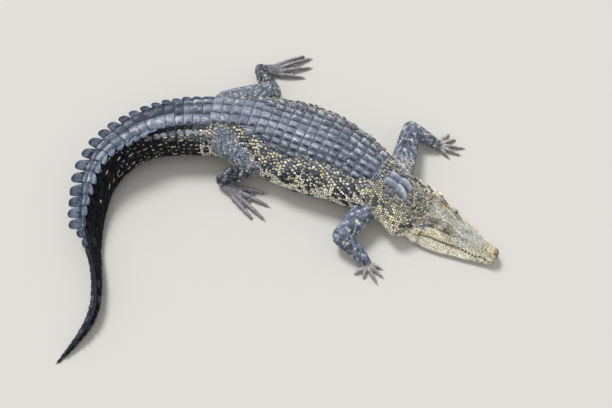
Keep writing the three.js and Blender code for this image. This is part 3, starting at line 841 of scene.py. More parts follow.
def evaluated(thing: bpy.types.Object, name: str) -> bpy.types.Object:
    """A new object with the thing's modifiers applied; the old one is deleted."""
    bpy.context.view_layer.update()
    graph = bpy.context.evaluated_depsgraph_get()
    made = bpy.data.meshes.new_from_object(thing.evaluated_get(graph))
    made.name = name
    bpy.data.objects.remove(thing)
    return object_of(made)


def coordinates_of(mesh: bpy.types.Mesh) -> Array:
    """A mesh's points."""
    points = np.empty(len(mesh.vertices) * 3, dtype=np.float32)
    mesh.vertices.foreach_get("co", points)
    return points.reshape(-1, 3).astype(float)


def edges_of(mesh: bpy.types.Mesh) -> Array:
    """A mesh's edges as pairs of point numbers."""
    edges = np.empty(len(mesh.edges) * 2, dtype=np.int32)
    mesh.edges.foreach_get("vertices", edges)
    return edges.reshape(-1, 2)


def relaxed(points: Array, edges: Array, weight: Array, rounds: int) -> Array:
    """Points drawn towards the mean of their neighbours, each as strongly as its weight, round by round."""
    ends = np.concatenate([edges, edges[:, ::-1]])
    count = np.bincount(ends[:, 0], minlength=len(points))[:, None]
    for _ in range(rounds):
        near = points[ends[:, 1]]
        total = np.stack([
            np.bincount(ends[:, 0], weights=near[:, axis], minlength=len(points)) for axis in range(3)
        ], axis=-1)
        points = mix(points, total / np.maximum(count, 1), weight[:, None] * 0.6)
    return points


def spread_out(mask: Array, edges: Array, rounds: int, keep: float) -> Array:
    """A value that spreads from marked points over the edges and fades by `keep` at each step."""
    value = mask.astype(float)
    for _ in range(rounds):
        grown = value.copy()
        np.maximum.at(grown, edges[:, 0], value[edges[:, 1]] * keep)
        np.maximum.at(grown, edges[:, 1], value[edges[:, 0]] * keep)
        value = grown
    return value


def paint(mesh: bpy.types.Mesh, name: str, colours: Array) -> None:
    """Store one linear colour for each point of a mesh."""
    layer = mesh.color_attributes.new(name, "FLOAT_COLOR", "POINT")
    full = np.concatenate([colours, np.ones((len(colours), 1))], axis=1).astype(np.float32)
    layer.data.foreach_set("color", full.ravel())


def store(mesh: bpy.types.Mesh, name: str, values: Array) -> None:
    """Store one number, or one vector, for each point of a mesh."""
    kind, key = ("FLOAT", "value") if values.ndim == 1 else ("FLOAT_VECTOR", "vector")
    mesh.attributes.new(name, kind, "POINT").data.foreach_set(key, values.astype(np.float32).ravel())


# ---------------------------------------------------------------- skin

@dataclass(frozen=True)
class Eyelid:
    """One eyelid: a shell of a sphere round the eyeball, from its thick rim to deep in the orbit."""

    side: int  # 1 for the left eye, -1 for the right one
    upper: bool
    sweep: float = 82  # how far the slit runs to either corner, in degrees
    tilt: float = 14  # how far the shell is turned outwards
    layers: tuple[float, ...] = (0.15, 0.9, 1.7, 2.3)  # how far the wall's layers lie off the eyeball
    drawn_in: float = 1.6  # by how much the corners lie deeper
    along: int = 33
    across: int = 12

    def shape(self) -> tuple[Array, list[Array]]:
        """The lid's points in the drawing frame, and its faces.

        Azimuth runs along the slit from its front to its back corner, and elevation rises from the slit; the
        rim lies at an elevation that falls to the corners as a cosine.
        """
        azimuth = np.radians(np.linspace(-self.sweep, self.sweep, self.along))[:, None, None]
        rim = np.radians(17 if self.upper else -15) * np.cos(azimuth) ** 0.8
        deep = np.radians(104 if self.upper else -62)
        elevation = mix(rim, deep, np.linspace(0, 1, self.across)[None, :, None] ** 1.15)
        radius = HEAD_SHAPE.eye_radius + np.array(self.layers)[None, None]
        radius = radius - self.drawn_in * np.abs(azimuth / np.radians(self.sweep)) ** 4
        out = radius * np.cos(elevation)
        back, out, up = out * np.sin(azimuth), out * np.cos(azimuth), radius * np.sin(elevation)
        tilt = math.radians(self.tilt)
        lateral = out * math.cos(tilt) - up * math.sin(tilt)
        rise = out * math.sin(tilt) + up * math.cos(tilt)
        points = HEAD_SHAPE.place(
            HEAD_SHAPE.eye_at + back, self.side * (HEAD_SHAPE.eye_off + lateral), HEAD_SHAPE.eye_high + rise,
        )
        loop = np.concatenate([
            points[:, :, -1], points[:, -1, -2::-1], points[:, -2::-1, 0], points[:, 0, 1:-1],
        ], axis=1)
        return loft(loop, (points[0].mean(axis=(0, 1)), points[-1].mean(axis=(0, 1))))


@dataclass(frozen=True)
class Web:
    """The web between two neighbouring toes: a thin sheet that sags, with a hollow free edge."""

    limb: Limb
    index: int  # the toe on its inner side

    UNITS: ClassVar[int] = 40  # how many units there are from one toe to the other

    def middle(self, across: Array, out: Array) -> Array:
        """Points of the sheet's middle: straight from toe to toe and from the palm out, with a sine's sag.

        Args:
            across: shares of the way from the first toe to the second.
            out: shares of the way from the palm to the free edge.

        Returns:
            Places in the drawing frame.
        """
        limb, build = self.limb, self.limb.build
        first, second = (np.array(limb.knuckle(k)) for k in (self.index, self.index + 1))
        tips = [
            np.array(reach_out(limb.knuckle(k), limb.digits[k][0], build.web, build.digit * 0.8))
            for k in (self.index, self.index + 1)
        ]
        run = (out * (1 - 0.24 * np.sin(math.pi * across) * np.clip(out, 0, 1)))[..., None]
        places = mix(mix(first, second, across[..., None]), mix(tips[0], tips[1], across[..., None]), run)
        arch = build.arch * np.sin(math.pi * 0.6 * np.clip(run[..., 0], 0, 1))
        places[..., 2] += arch - 2.0 * np.sin(math.pi * across) + 0.5 * np.cos(across * 3 * TAU) * run[..., 0]
        return places

    def on_sheet(self, u: Array, v: Array) -> Array:
        """Points of the upper side at millimetres out from the palm, and units of the way across."""
        places = self.middle(v / self.UNITS, u / self.limb.build.web)
        places[..., 2] += 0.9
        return places

    def shape(self) -> tuple[Array, list[Array]]:
        """The closed sheet, thinner towards its free edge: points in the drawing frame, and faces."""
        across, out = np.broadcast_arrays(np.linspace(0, 1, 15)[:, None], np.linspace(-0.08, 1, 17))
        half = 1.2 - 0.5 * np.clip(out, 0, 1)
        top, low = self.middle(across, out), self.middle(across, out)
        top[..., 2] += half
        low[..., 2] -= half
        return loft(np.concatenate([top, low[:, ::-1]], axis=1))


def webs_of(limb: Limb) -> list[Web]:
    """The webs between a foot's toes; a hand has none."""
    return [Web(limb, index) for index in range(len(limb.digits) - 1)] if limb.build.web else []


@dataclass
class Skin:
    """The one hide of the whole animal, fused from the body's loft, the legs and the eyelids."""

    around: int = 128
    head_rings: int = 150
    body_rings: int = 236
    limb_voxel: float = 4.2
    foot_voxel: float = 2.2
    smoothing: int = 6  # rounds of smoothing after a remesh
    seam_rounds: int = 9  # how many edges away from a seam the skin is softened
    seam_keep: float = 0.8  # the share of the softening that is left one edge further on
    soft_rounds: int = 14
    piece: bpy.types.Object = field(init=False)

    def core(self) -> tuple[Array, list[Array]]:
        """The loft from snout to tail, with rings and places crowded on the head and about the lips."""
        join = 300.0
        head = np.linspace(0.02, 1, self.head_rings) ** 1.35 * join
        body = np.linspace(join, LENGTH, self.body_rings)[1:]
        at = np.concatenate([head, body])
        lip = HEAD_SHAPE.lip
        half = self.around // 2
        above = lip * (1 - (1 - np.linspace(0, 1, int(half * 0.68))) ** 1.12)
        below = mix(lip, 0.5, np.linspace(0, 1, half + 1 - len(above)) ** 1.25)[1:]
        side = np.concatenate([above, below])
        turn = np.concatenate([side, -side[-1:0:-1]])
        points = BODY_SHAPE.point(at[:, None], turn[None] * TAU + 0 * at[:, None])
        tip = on_section(np.array(0.0), np.array(5.0), np.array(HEAD_SHAPE.cap_high))
        return loft(points, (tip, points[-1].mean(axis=0)))

    def source(self, name: str, parts: Sequence[tuple[Array, list[Array]]], voxel: float) -> bpy.types.Object:
        """One closed body of overlapping ones, remeshed as a whole where a voxel size is given."""
        points, faces = joined(parts)
        thing = object_of(mesh_of(name, (points + TO_MODEL) * MM, faces))
        if not voxel:
            return thing
        remesh = thing.modifiers.new("remesh", "REMESH")
        remesh.mode, remesh.voxel_size = "VOXEL", voxel * MM
        smooth = thing.modifiers.new("smooth", "SMOOTH")
        smooth.factor, smooth.iterations = 0.5, self.smoothing
        return evaluated(thing, name)

    def sources(self) -> list[bpy.types.Object]:
        """The core first, then each leg, its foot, the webs and the eyelids."""
        made = [self.source("core", [self.core()], 0)]
        for limb in LIMBS:
            bars = [loft(bar.rings(24, 32), bar.poles()) for bar in (limb.upper, limb.lower)]
            made.append(self.source(f"leg_{limb.name}", bars, self.limb_voxel))
            foot = [loft(bar.rings(20, 20), bar.poles()) for bar in [limb.palm, *limb.toes()]]
            made.append(self.source(f"foot_{limb.name}", foot, self.foot_voxel))
            made += [self.source(f"web_{limb.name}_{web.index}", [web.shape()], 0) for web in webs_of(limb)]
        made.extend(
            self.source(f"lid_{side}_{upper}", [Eyelid(side, upper).shape()], 0)
            for side in (1, -1) for upper in (True, False)
        )
        return made

    def build(self) -> None:
        """Fuse the sources, soften every seam between them, and flatten what would reach below the floor."""
        sources = self.sources()
        for index, thing in enumerate(sources):
            for _ in sources:
                thing.data.materials.append(None)
            faces = thing.data.polygons
            faces.foreach_set("material_index", np.full(len(faces), index, np.int32))
        core = sources[0]
        for other in sources[1:]:
            fuse = core.modifiers.new(other.name, "BOOLEAN")
            fuse.operation, fuse.solver, fuse.object = "UNION", "MANIFOLD", other
        self.piece = evaluated(core, "hide")
        for other in sources[1:]:
            bpy.data.objects.remove(other)
        mesh = self.piece.data
        points, edges = coordinates_of(mesh), edges_of(mesh)
        weight = spread_out(self.seam_points(mesh), edges, self.seam_rounds, self.seam_keep)
        points = within(relaxed(points, edges, weight, self.soft_rounds))
        mesh.vertices.foreach_set("co", points.astype(np.float32).ravel())
        mesh.materials.clear()
        mesh.polygons.foreach_set("material_index", np.zeros(len(mesh.polygons), np.int32))
        mesh.polygons.foreach_set("use_smooth", np.ones(len(mesh.polygons), bool))
        mesh.update()
        LOG.info("hide: %d points, %d triangles", len(points), len(mesh.loop_triangles) or len(mesh.polygons))

    def seam_points(self, mesh: bpy.types.Mesh) -> Array:
        """Which points have faces of two different sources around them."""
        sizes, source = (np.empty(len(mesh.polygons), np.int32) for _ in range(2))
        mesh.polygons.foreach_get("loop_total", sizes)
        mesh.polygons.foreach_get("material_index", source)
        corner = np.empty(len(mesh.loops), np.int32)
        mesh.loops.foreach_get("vertex_index", corner)
        of_corner = np.repeat(source, sizes)
        least, most = np.full(len(mesh.vertices), len(mesh.vertices)), np.full(len(mesh.vertices), -1)
        np.minimum.at(least, corner, of_corner)
        np.maximum.at(most, corner, of_corner)
        return most != least


# ---------------------------------------------------------------- colours

def linear(red: float, green: float, blue: float) -> Array:
    """A linear colour from one given as 0 to 255 on a screen."""
    shown = np.array([red, green, blue]) / 255
    return np.where(shown <= 0.04045, shown / 12.92, ((shown + 0.055) / 1.055) ** 2.4)


def screen(red: float, green: float, blue: float) -> Array:
    """A palette field that holds one colour given as on a screen."""
    return field(default_factory=lambda: linear(red, green, blue))


@dataclass(frozen=True)
class Palette:
    """The hide's colours, named for where they show."""

    slate: Array = screen(112, 119, 133)
    worn: Array = screen(192, 195, 204)
    gap: Array = screen(50, 56, 68)
    blue_black: Array = screen(38, 42, 50)
    cream: Array = screen(202, 196, 172)
    yellow: Array = screen(184, 173, 126)
    belly: Array = screen(222, 218, 202)
    neck: Array = screen(134, 131, 121)
    tail_black: Array = screen(19, 21, 25)
    lobe: Array = screen(78, 94, 124)
    tail_blue: Array = screen(90, 99, 117)
    ear_blue: Array = screen(78, 100, 150)
    olive: Array = screen(168, 163, 128)
    bone: Array = screen(186, 186, 178)
    # a pale cream, painted paler than the jaw's own to lift the shade that falls on the lower jaw
    jaw: Array = screen(232, 230, 210)
    orange: Array = screen(196, 146, 66)
    mauve: Array = screen(164, 152, 146)
    brown: Array = screen(70, 58, 42)
    foot: Array = screen(146, 141, 143)


TONE = Palette()


def blend(base: Array, over: Array, share: Array) -> Array:
    """One colour laid over another, as strongly as its share at each place."""
    return base + (over - base) * np.asarray(share)[..., None]


def chosen(pick: Array, *steps: tuple[float, Array]) -> Array:
    """For each chance value from 0 to 1, the colour of the first step whose limit lies above it."""
    return np.select([pick < limit for limit, _ in steps], [colour for _, colour in steps])


def ear_share(at: Array, wide: Array) -> Array:
    """1 on the blue fold behind the mouth corner, 0 away from it, by a bell in both directions."""
    return bell((at - 258) / 9, (wide - 64) / 8)


PALE_LINES = (  # pale lines on the head, each from one (at, off) to another, with its width and strength
    ((210, 20), (172, 12), 3.2, 1), ((172, 12), (128, 18), 3.0, 0.8),
    ((214, 40), (176, 42), 2.6, 0.8), ((150, 36), (120, 30), 3, 0.6),
)
DARK_LINES = (  # the dark lines beside them
    ((206, 22), (170, 17), 1.6, 1), ((186, 7), (208, 11), 1.4, 0.8), ((212, 34), (254, 44), 2.6, 1),
    ((168, 36), (208, 47), 1.8, 1), ((222, 50), (262, 60), 1.6, 1), ((150, 30), (186, 42), 1.3, 0.7),
)


class HeadPaint:
    """The head's colours: bone grey on top, cream lips and jaw, orange table edges, brown slits and spots."""

    def __init__(self, at: Array, off: Array, high: Array, points: Array) -> None:
        """Work out the shares and the mottling that several steps use.

        Args:
            at: distances from the snout.
            off: offsets from the head's middle line.
            high: heights above the floor.
            points: the places themselves.
        """
        self.at, self.wide, self.high, self.points = at, np.abs(off), high, points
        self.above = high - HEAD("mouth", at)
        self.share = self.wide / HEAD("upper", at)
        self.mottle, self.patch = noise(points, 26, 11, 3), noise(points, 13, 17, 3)
        self.fine = noise(points, 5, 12, 2)
        self.table = HEAD_SHAPE.table_share(at, off)

    def colour(self) -> Array:
        """Linear colours, laid over each other from the top of the head down to the lips."""
        colour = blend(TONE.bone, TONE.olive, smoothstep(self.mottle, 0.44, 0.62) * 0.5)
        for step in (self.top, self.sides, self.table_hem, self.round_eyes, self.lines, self.jaw, self.lips):
            colour = step(colour)
        return colour

    def top(self, colour: Array) -> Array:
        """Grey midway along the snout, gold and spotted brown at its tip, and brown-grey behind the table."""
        at, patch, fine = self.at, self.patch, self.fine
        grey = window(at, 66, 100, 160, 200) * smoothstep(0.66 - self.share, 0, 0.3)
        colour = blend(colour, TONE.slate * 1.8, grey * smoothstep(patch, 0.35, 0.6) * 0.2)
        colour = blend(colour, TONE.neck * 0.9, self.table * smoothstep(fine, 0.5, 0.66) * 0.65)
        golden = (TONE.yellow + TONE.cream) * np.array((0.50, 0.47, 0.44))
        colour = blend(colour, golden, fall(at + (patch - 0.5) * 36, 34, 80) * 0.8)
        colour = blend(colour, TONE.brown * 1.6, fall(at, 40, 66) * smoothstep(fine, 0.54, 0.66) * 0.45)
        rear = smoothstep(at + (patch - 0.5) * 50, 242, 264) * smoothstep(self.mottle, 0.3, 0.55)
        return blend(colour, TONE.neck * 0.75, rear * 0.75)

    def sides(self, colour: Array) -> Array:
        """Pale along the snout's sides, and cream cheeks painted far paler than cream to lift the shade on
        them, with orange and olive blots.
        """
        flank, patch = self.flank(), self.patch
        colour = blend(colour, TONE.jaw, flank * fall(self.at, 150, 190) * 0.6)
        cheek = flank * smoothstep(self.at, 150, 190)
        # painted light: cream nearly twice as bright as the cream scales, against the shade on the cheeks
        colour = blend(colour, TONE.cream * 1.9, cheek * 0.95)
        colour = blend(colour, TONE.orange, cheek * smoothstep(patch, 0.52, 0.62) * 0.3)
        return blend(colour, TONE.olive * 0.6, cheek * smoothstep(0.44 - patch, 0.0, 0.08) * 0.2)

    def flank(self) -> Array:
        """1 low on the upper jaw's sides, 0 on top."""
        return smoothstep(self.share, 0.60, 0.92)

    def table_hem(self, colour: Array) -> Array:
        """A worn table with an orange and dark hem."""
        rim, wide, patch = HEAD_SHAPE.table_half(self.at), self.wide, self.patch
        colour = blend(colour, TONE.worn * 0.9, self.table * smoothstep(rim - 10 - wide, 0, 6) * 0.15)
        hem = smoothstep(wide, rim - 8, rim - 2) * smoothstep(self.at, 196, 206)
        hem = hem * fall(wide, rim + 7, rim + 12)
        colour = blend(colour, TONE.orange, hem * smoothstep(patch, 0.46, 0.58) * 0.8)
        return blend(colour, TONE.gap, hem * smoothstep(0.44 - patch, 0, 0.1) * 0.5)

    def round_eyes(self, colour: Array) -> Array:
        """Mauve lids, with dark blots between the eyes and the cheeks."""
        at, wide = self.at, self.wide
        lid = bell((at - HEAD_SHAPE.eye_at) / 17, (wide - 30) / 11)
        colour = blend(colour, TONE.mauve * 1.15, lid * 0.55)
        dark = window(at, 158, 176, 246, 264) * smoothstep(wide, 14, 24) * (1 - self.table)
        dark = dark * (1 - 0.8 * lid) * (1 - 0.75 * self.flank())
        blots = smoothstep(noise(self.points, 9, 18, 2), 0.48, 0.62)
        return blend(colour, TONE.neck * 0.45, dark * blots * 0.5)

    def lines(self, colour: Array) -> Array:
        """Pale and dark lines, the blue fold behind the mouth corner, brown spots and a mauve nose."""
        at, wide = self.at, self.wide
        colour = blend(colour, TONE.belly * 1.1, 0.9 * np.clip(ridges(at, wide, *PALE_LINES), 0, 1))
        slits = ridges(at, wide, *DARK_LINES, (*NOSTRIL, 2.4, 1))
        colour = blend(colour, TONE.brown * 0.6, np.clip(slits, 0, 1) * 0.9)
        colour = blend(colour, TONE.blue_black * 1.3, ridge(at, wide, (230, 46), (250, 58), 5) * 0.8)
        colour = blend(colour, TONE.ear_blue, ear_share(at, wide))
        spots = smoothstep(self.fine, 0.62, 0.72) * smoothstep(self.patch, 0.4, 0.6)
        colour = blend(colour, TONE.brown, spots * 0.55)
        return blend(colour, TONE.mauve * 0.45, bell((at - 8) / 7, (wide - 5) / 6) * 0.6)

    def jaw(self, colour: Array) -> Array:
        """The cream lower jaw, with olive and brown-grey mottling and a yellow chin."""
        jaw = blend(TONE.jaw, TONE.olive, smoothstep(self.mottle, 0.5, 0.8) * 0.35)
        spots = smoothstep(self.fine, 0.56, 0.68) * smoothstep(self.patch, 0.3, 0.6)
        jaw = blend(jaw, TONE.neck * 0.5, spots * 0.7)
        jaw = blend(jaw, TONE.yellow * 1.5, fall(self.at, 16, 44) * 0.5)
        return blend(colour, jaw, smoothstep(-self.above, -1.0, 1.5))

    def lips(self, colour: Array) -> Array:
        """Orange lips and mouth corner, a white seam over them, and the brown mouth line with its gaps."""
        at, above = self.at, self.above
        edge = smoothstep(self.share, 0.82, 0.93)
        lip = bell(above / 5.5) * edge * smoothstep(self.patch, 0.3, 0.55)
        colour = blend(colour, TONE.orange * 0.75, lip * 0.25)
        colour = blend(colour, TONE.orange, bell((at - 272) / 9, (self.high - 58) / 8) * edge * 0.5)
        colour = blend(colour, TONE.jaw, bell((above - 7) / 4.5) * edge * fall(at, 200, 240) * 0.7)
        gaps = np.clip(-np.cos(at / TOOTH_PITCH * TAU), 0, 1) ** 2 * fall(at, 135, 160)
        gaps = gaps * bell((above - 0.5) / 3.4) * edge
        line = bell(above / 2.0) * edge
        return blend(colour, TONE.brown * 0.4, np.clip(line + gaps * 0.8, 0, 1) * 0.9)


def body_colour(at: Array, angle: Array, points: Array) -> Array:
    """The hide between the scales: dark on the back, cream with blue-black below, black on the tail.

    Args:
        at: distances from the snout.
        angle: section angles from the dorsal line.
        points: the places themselves, for the mottling.

    Returns:
        Linear colours.
    """
    down = np.abs(angle) / math.pi
    mottle = noise(points, 34, 21, 3)
    front = 0.35 * fall(at, 640, 860)
    colour = blend(TONE.gap, TONE.slate, 0.15 + front + mottle * 0.5 - 0.3 * down)
    flank = smoothstep(down + (mottle - 0.5) * 0.1, 0.30, 0.46)
    speckle = noise(points, 12, 22, 2)
    side = blend(TONE.blue_black, TONE.neck * 0.45, smoothstep(speckle, 0.42, 0.56))
    side = blend(side, TONE.belly * 0.7, smoothstep(down, 0.6, 0.78) * 0.8)
    colour = blend(colour, side, flank)
    neck = fall(at, 400, 500)
    colour = blend(colour, blend(TONE.neck, TONE.gap, smoothstep(speckle, 0.5, 0.7) * 0.6),
                   neck * fall(down, 0.45, 0.62))
    colour = blend(colour, TONE.belly * 0.55, neck * smoothstep(down, 0.42, 0.6) * 0.85)
    tail = smoothstep(at, 1090, 1260)
    right = smoothstep(-angle, 0.35, 1.0)
    dark = blend(TONE.tail_black * 0.6, TONE.gap * 0.5, mottle * 0.2)
    return blend(colour, dark, tail * np.maximum(0.75 * smoothstep(at, 1150, 1500), right))


# ---------------------------------------------------------------- scales

UNWRAP_EDGE = 0.02  # the margin of the unwrapped skin, which runs from 0 to 1
UNWRAP_SPAN = 0.96
PATCH = 0.0014  # half the width of one plate's patch there


class Slot(Enum):
    """The record's material slots that the pieces use."""

    BACK = "back_skin"
    TAIL = "tail_skin"
    LIMB = "limb_skin"
    FOOT = "foot_skin"
    HEAD = "head_skin"
    EYE = "eye"
    CLAW = "claw"


@dataclass(frozen=True)
class Plate:
    """How the scales of one family are formed, in millimetres and shares of their size."""

    dome: float
    keel: float = 0.0
    keel_wide: float = 0.2
    corner: float = 0.6  # 0 is a square outline, 1 a round one
    tilt: float = 0.0  # how much the rear edge stands up
    sink: float = 0.8
    rough: float = 0.12
    steps: int = 7
    back: float = 1.0  # where along the plate the keel is highest, from -1 to 1
    shoulder: float = 0.45  # how slowly the dome rises from its rim
    hollow: float = 0.0  # how deep the plate dips near both its sides

    def grid(self) -> tuple[Array, Array]:
        """The plate's own coordinates, from -1 to 1 both ways, crowded to the rim."""
        line = np.sin(np.linspace(-math.pi / 2, math.pi / 2, self.steps))
        if self.steps > 8:
            line = np.concatenate([[-1, -0.95], np.linspace(-0.84, 0.84, self.steps - 4), [0.95, 1]])
        return np.meshgrid(line, line, indexing="ij")

    def outline(self, corner: Array) -> tuple[Array, Array]:
        """The same coordinates with the corners drawn in: each one shrinks by the square of the other."""
        a, b = self.grid()
        half = corner[:, None, None] / 2
        return a * np.sqrt(1 - half * b * b), b * np.sqrt(1 - half * a * a)

    def height(self, size: Array, keel: Array, grain: Array) -> Array:
        """Heights over the skin: a steep-sided dome, a keel that rises to the back, and a worn, uneven top.

        Args:
            size: a factor for each plate.
            keel: a factor on the keel for each plate.
            grain: noise at each point, from 0 to 1.

        Returns:
            Heights as [plate, along, across]; the rim is sunk under the skin.
        """
        a, b = self.grid()
        inside = (1 - a**4) * (1 - b**4)
        crown = inside**self.shoulder
        blade = bell(b / self.keel_wide) * (0.35 + 0.65 * smoothstep(a, -1, self.back)) * inside**0.4
        rise = self.dome * crown + self.tilt * (a + 1) / 2 * inside**0.5
        dip = bell((np.abs(b) - 0.74) / 0.2) * inside**0.3
        blade = self.keel * blade - self.hollow * dip
        rise = rise[None] * size[:, None, None] + blade[None] * keel[:, None, None]
        rise = rise + (grain - 0.5) * self.rough * 2 * self.dome * crown[None]
        return np.where(inside[None] < 1e-9, -self.sink, np.maximum(rise, 0.15))


@dataclass
class Scales:
    """One family of plates: where each one lies on a surface, its size, and its colours."""

    surface: Callable[[Array, Array], Array]
    plate: Plate
    u: Array
    v: Array
    long: Array
    wide: Array
    base: Array
    worn: Array
    gap: Array
    wear: Array
    size: Array
    keel: Array
    corner: Array
    taper: Array
    skew: Array
    unwrap: Array
    # mark: how dark a painted shadow beside each plate's keel is; the same strength also pales the rim at the
    # plate's two ends
    mark: Array
    hand: int = 1

    def footprint(self) -> Array:
        """Each plate's grid of points on its smooth surface, in metres: sheared and tapered by chance."""
        a, b = self.plate.outline(self.corner)
        taper, skew = self.taper[:, None, None], self.skew[:, None, None]
        u = self.u[:, None, None] + (a + skew * 0.6 * b) * self.long[:, None, None] / 2
        v = self.v[:, None, None] + (b * (1 + taper * a) + skew * a) * self.wide[:, None, None] / 2
        return metres(self.surface(u, v))


def scale_family(
    surface: Callable[[Array, Array], Array], plate: Plate, u: Array, v: Array, long: Array, wide: Array,
    base: Array, worn: Array, gap: Array, unwrap: Array, seed: int, hand: int = 1,
    wear: Array | float = 0.6, vary: float = 0.14, keel: Array | float = 1.0,
    corner: Array | float | None = None, mark: Array | float = 0.0,
) -> Scales:
    """A family with its plates' chance differences drawn from one seed.

    Args:
        surface: gives drawing-frame points from two lengths along the skin.
        plate: the family's form.
        u: each plate's place along the skin.
        v: each plate's place round it.
        long: each plate's length, or one for all.
        wide: each plate's width, or one for all.
        base: colours of the plates' sides.
        worn: colours of their rubbed tops.
        gap: colours of their rims.
        unwrap: each plate's place on the unwrapped skin, from 0 to 1.
        seed: picks the chance differences.
        hand: 1 where turning u into v by the shorter way looks clockwise from outside, else -1.
        wear: how far the tops are rubbed.
        vary: how far sizes and brightness differ.
        keel: a factor on the keel.
        corner: how round the outlines are, if not as the form says.
        mark: how dark the painted shadow on the two long sides is, midway, stronger on one side.

    Returns:
        The family.
    """
    chance = np.random.default_rng(seed)
    count = len(u)
    shade = 1 + vary * 1.3 * chance.standard_normal((count, 1)).clip(-2, 2)
    tall = np.broadcast_to(np.asarray(keel, float), (count,))
    corner = plate.corner if corner is None else corner
    return Scales(
        surface=surface, plate=plate,
        u=u + chance.uniform(-0.03, 0.03, count) * long, v=v + chance.uniform(-0.04, 0.04, count) * wide,
        long=np.broadcast_to(long, (count,)) * (1 + vary * 0.35 * chance.uniform(-1, 1, count)),
        wide=np.broadcast_to(wide, (count,)) * (1 + vary * 0.35 * chance.uniform(-1, 1, count)),
        base=np.broadcast_to(base, (count, 3)) * shade,
        worn=np.broadcast_to(worn, (count, 3)) * (shade + 1) / 2,
        gap=np.broadcast_to(gap, (count, 3)) * shade, wear=wear * chance.uniform(0.45, 1.25, count),
        size=1 + vary * 1.5 * chance.uniform(-1, 1, count), keel=tall * chance.uniform(0.7, 1.25, count),
        corner=np.clip(corner + chance.uniform(-0.2, 0.2, count), 0.1, 1),
        taper=vary * chance.uniform(-1, 1, count), skew=vary * 0.6 * chance.uniform(-1, 1, count),
        unwrap=unwrap, mark=mark * chance.uniform(0.4, 1.15, count).clip(0, 1), hand=hand,
    )


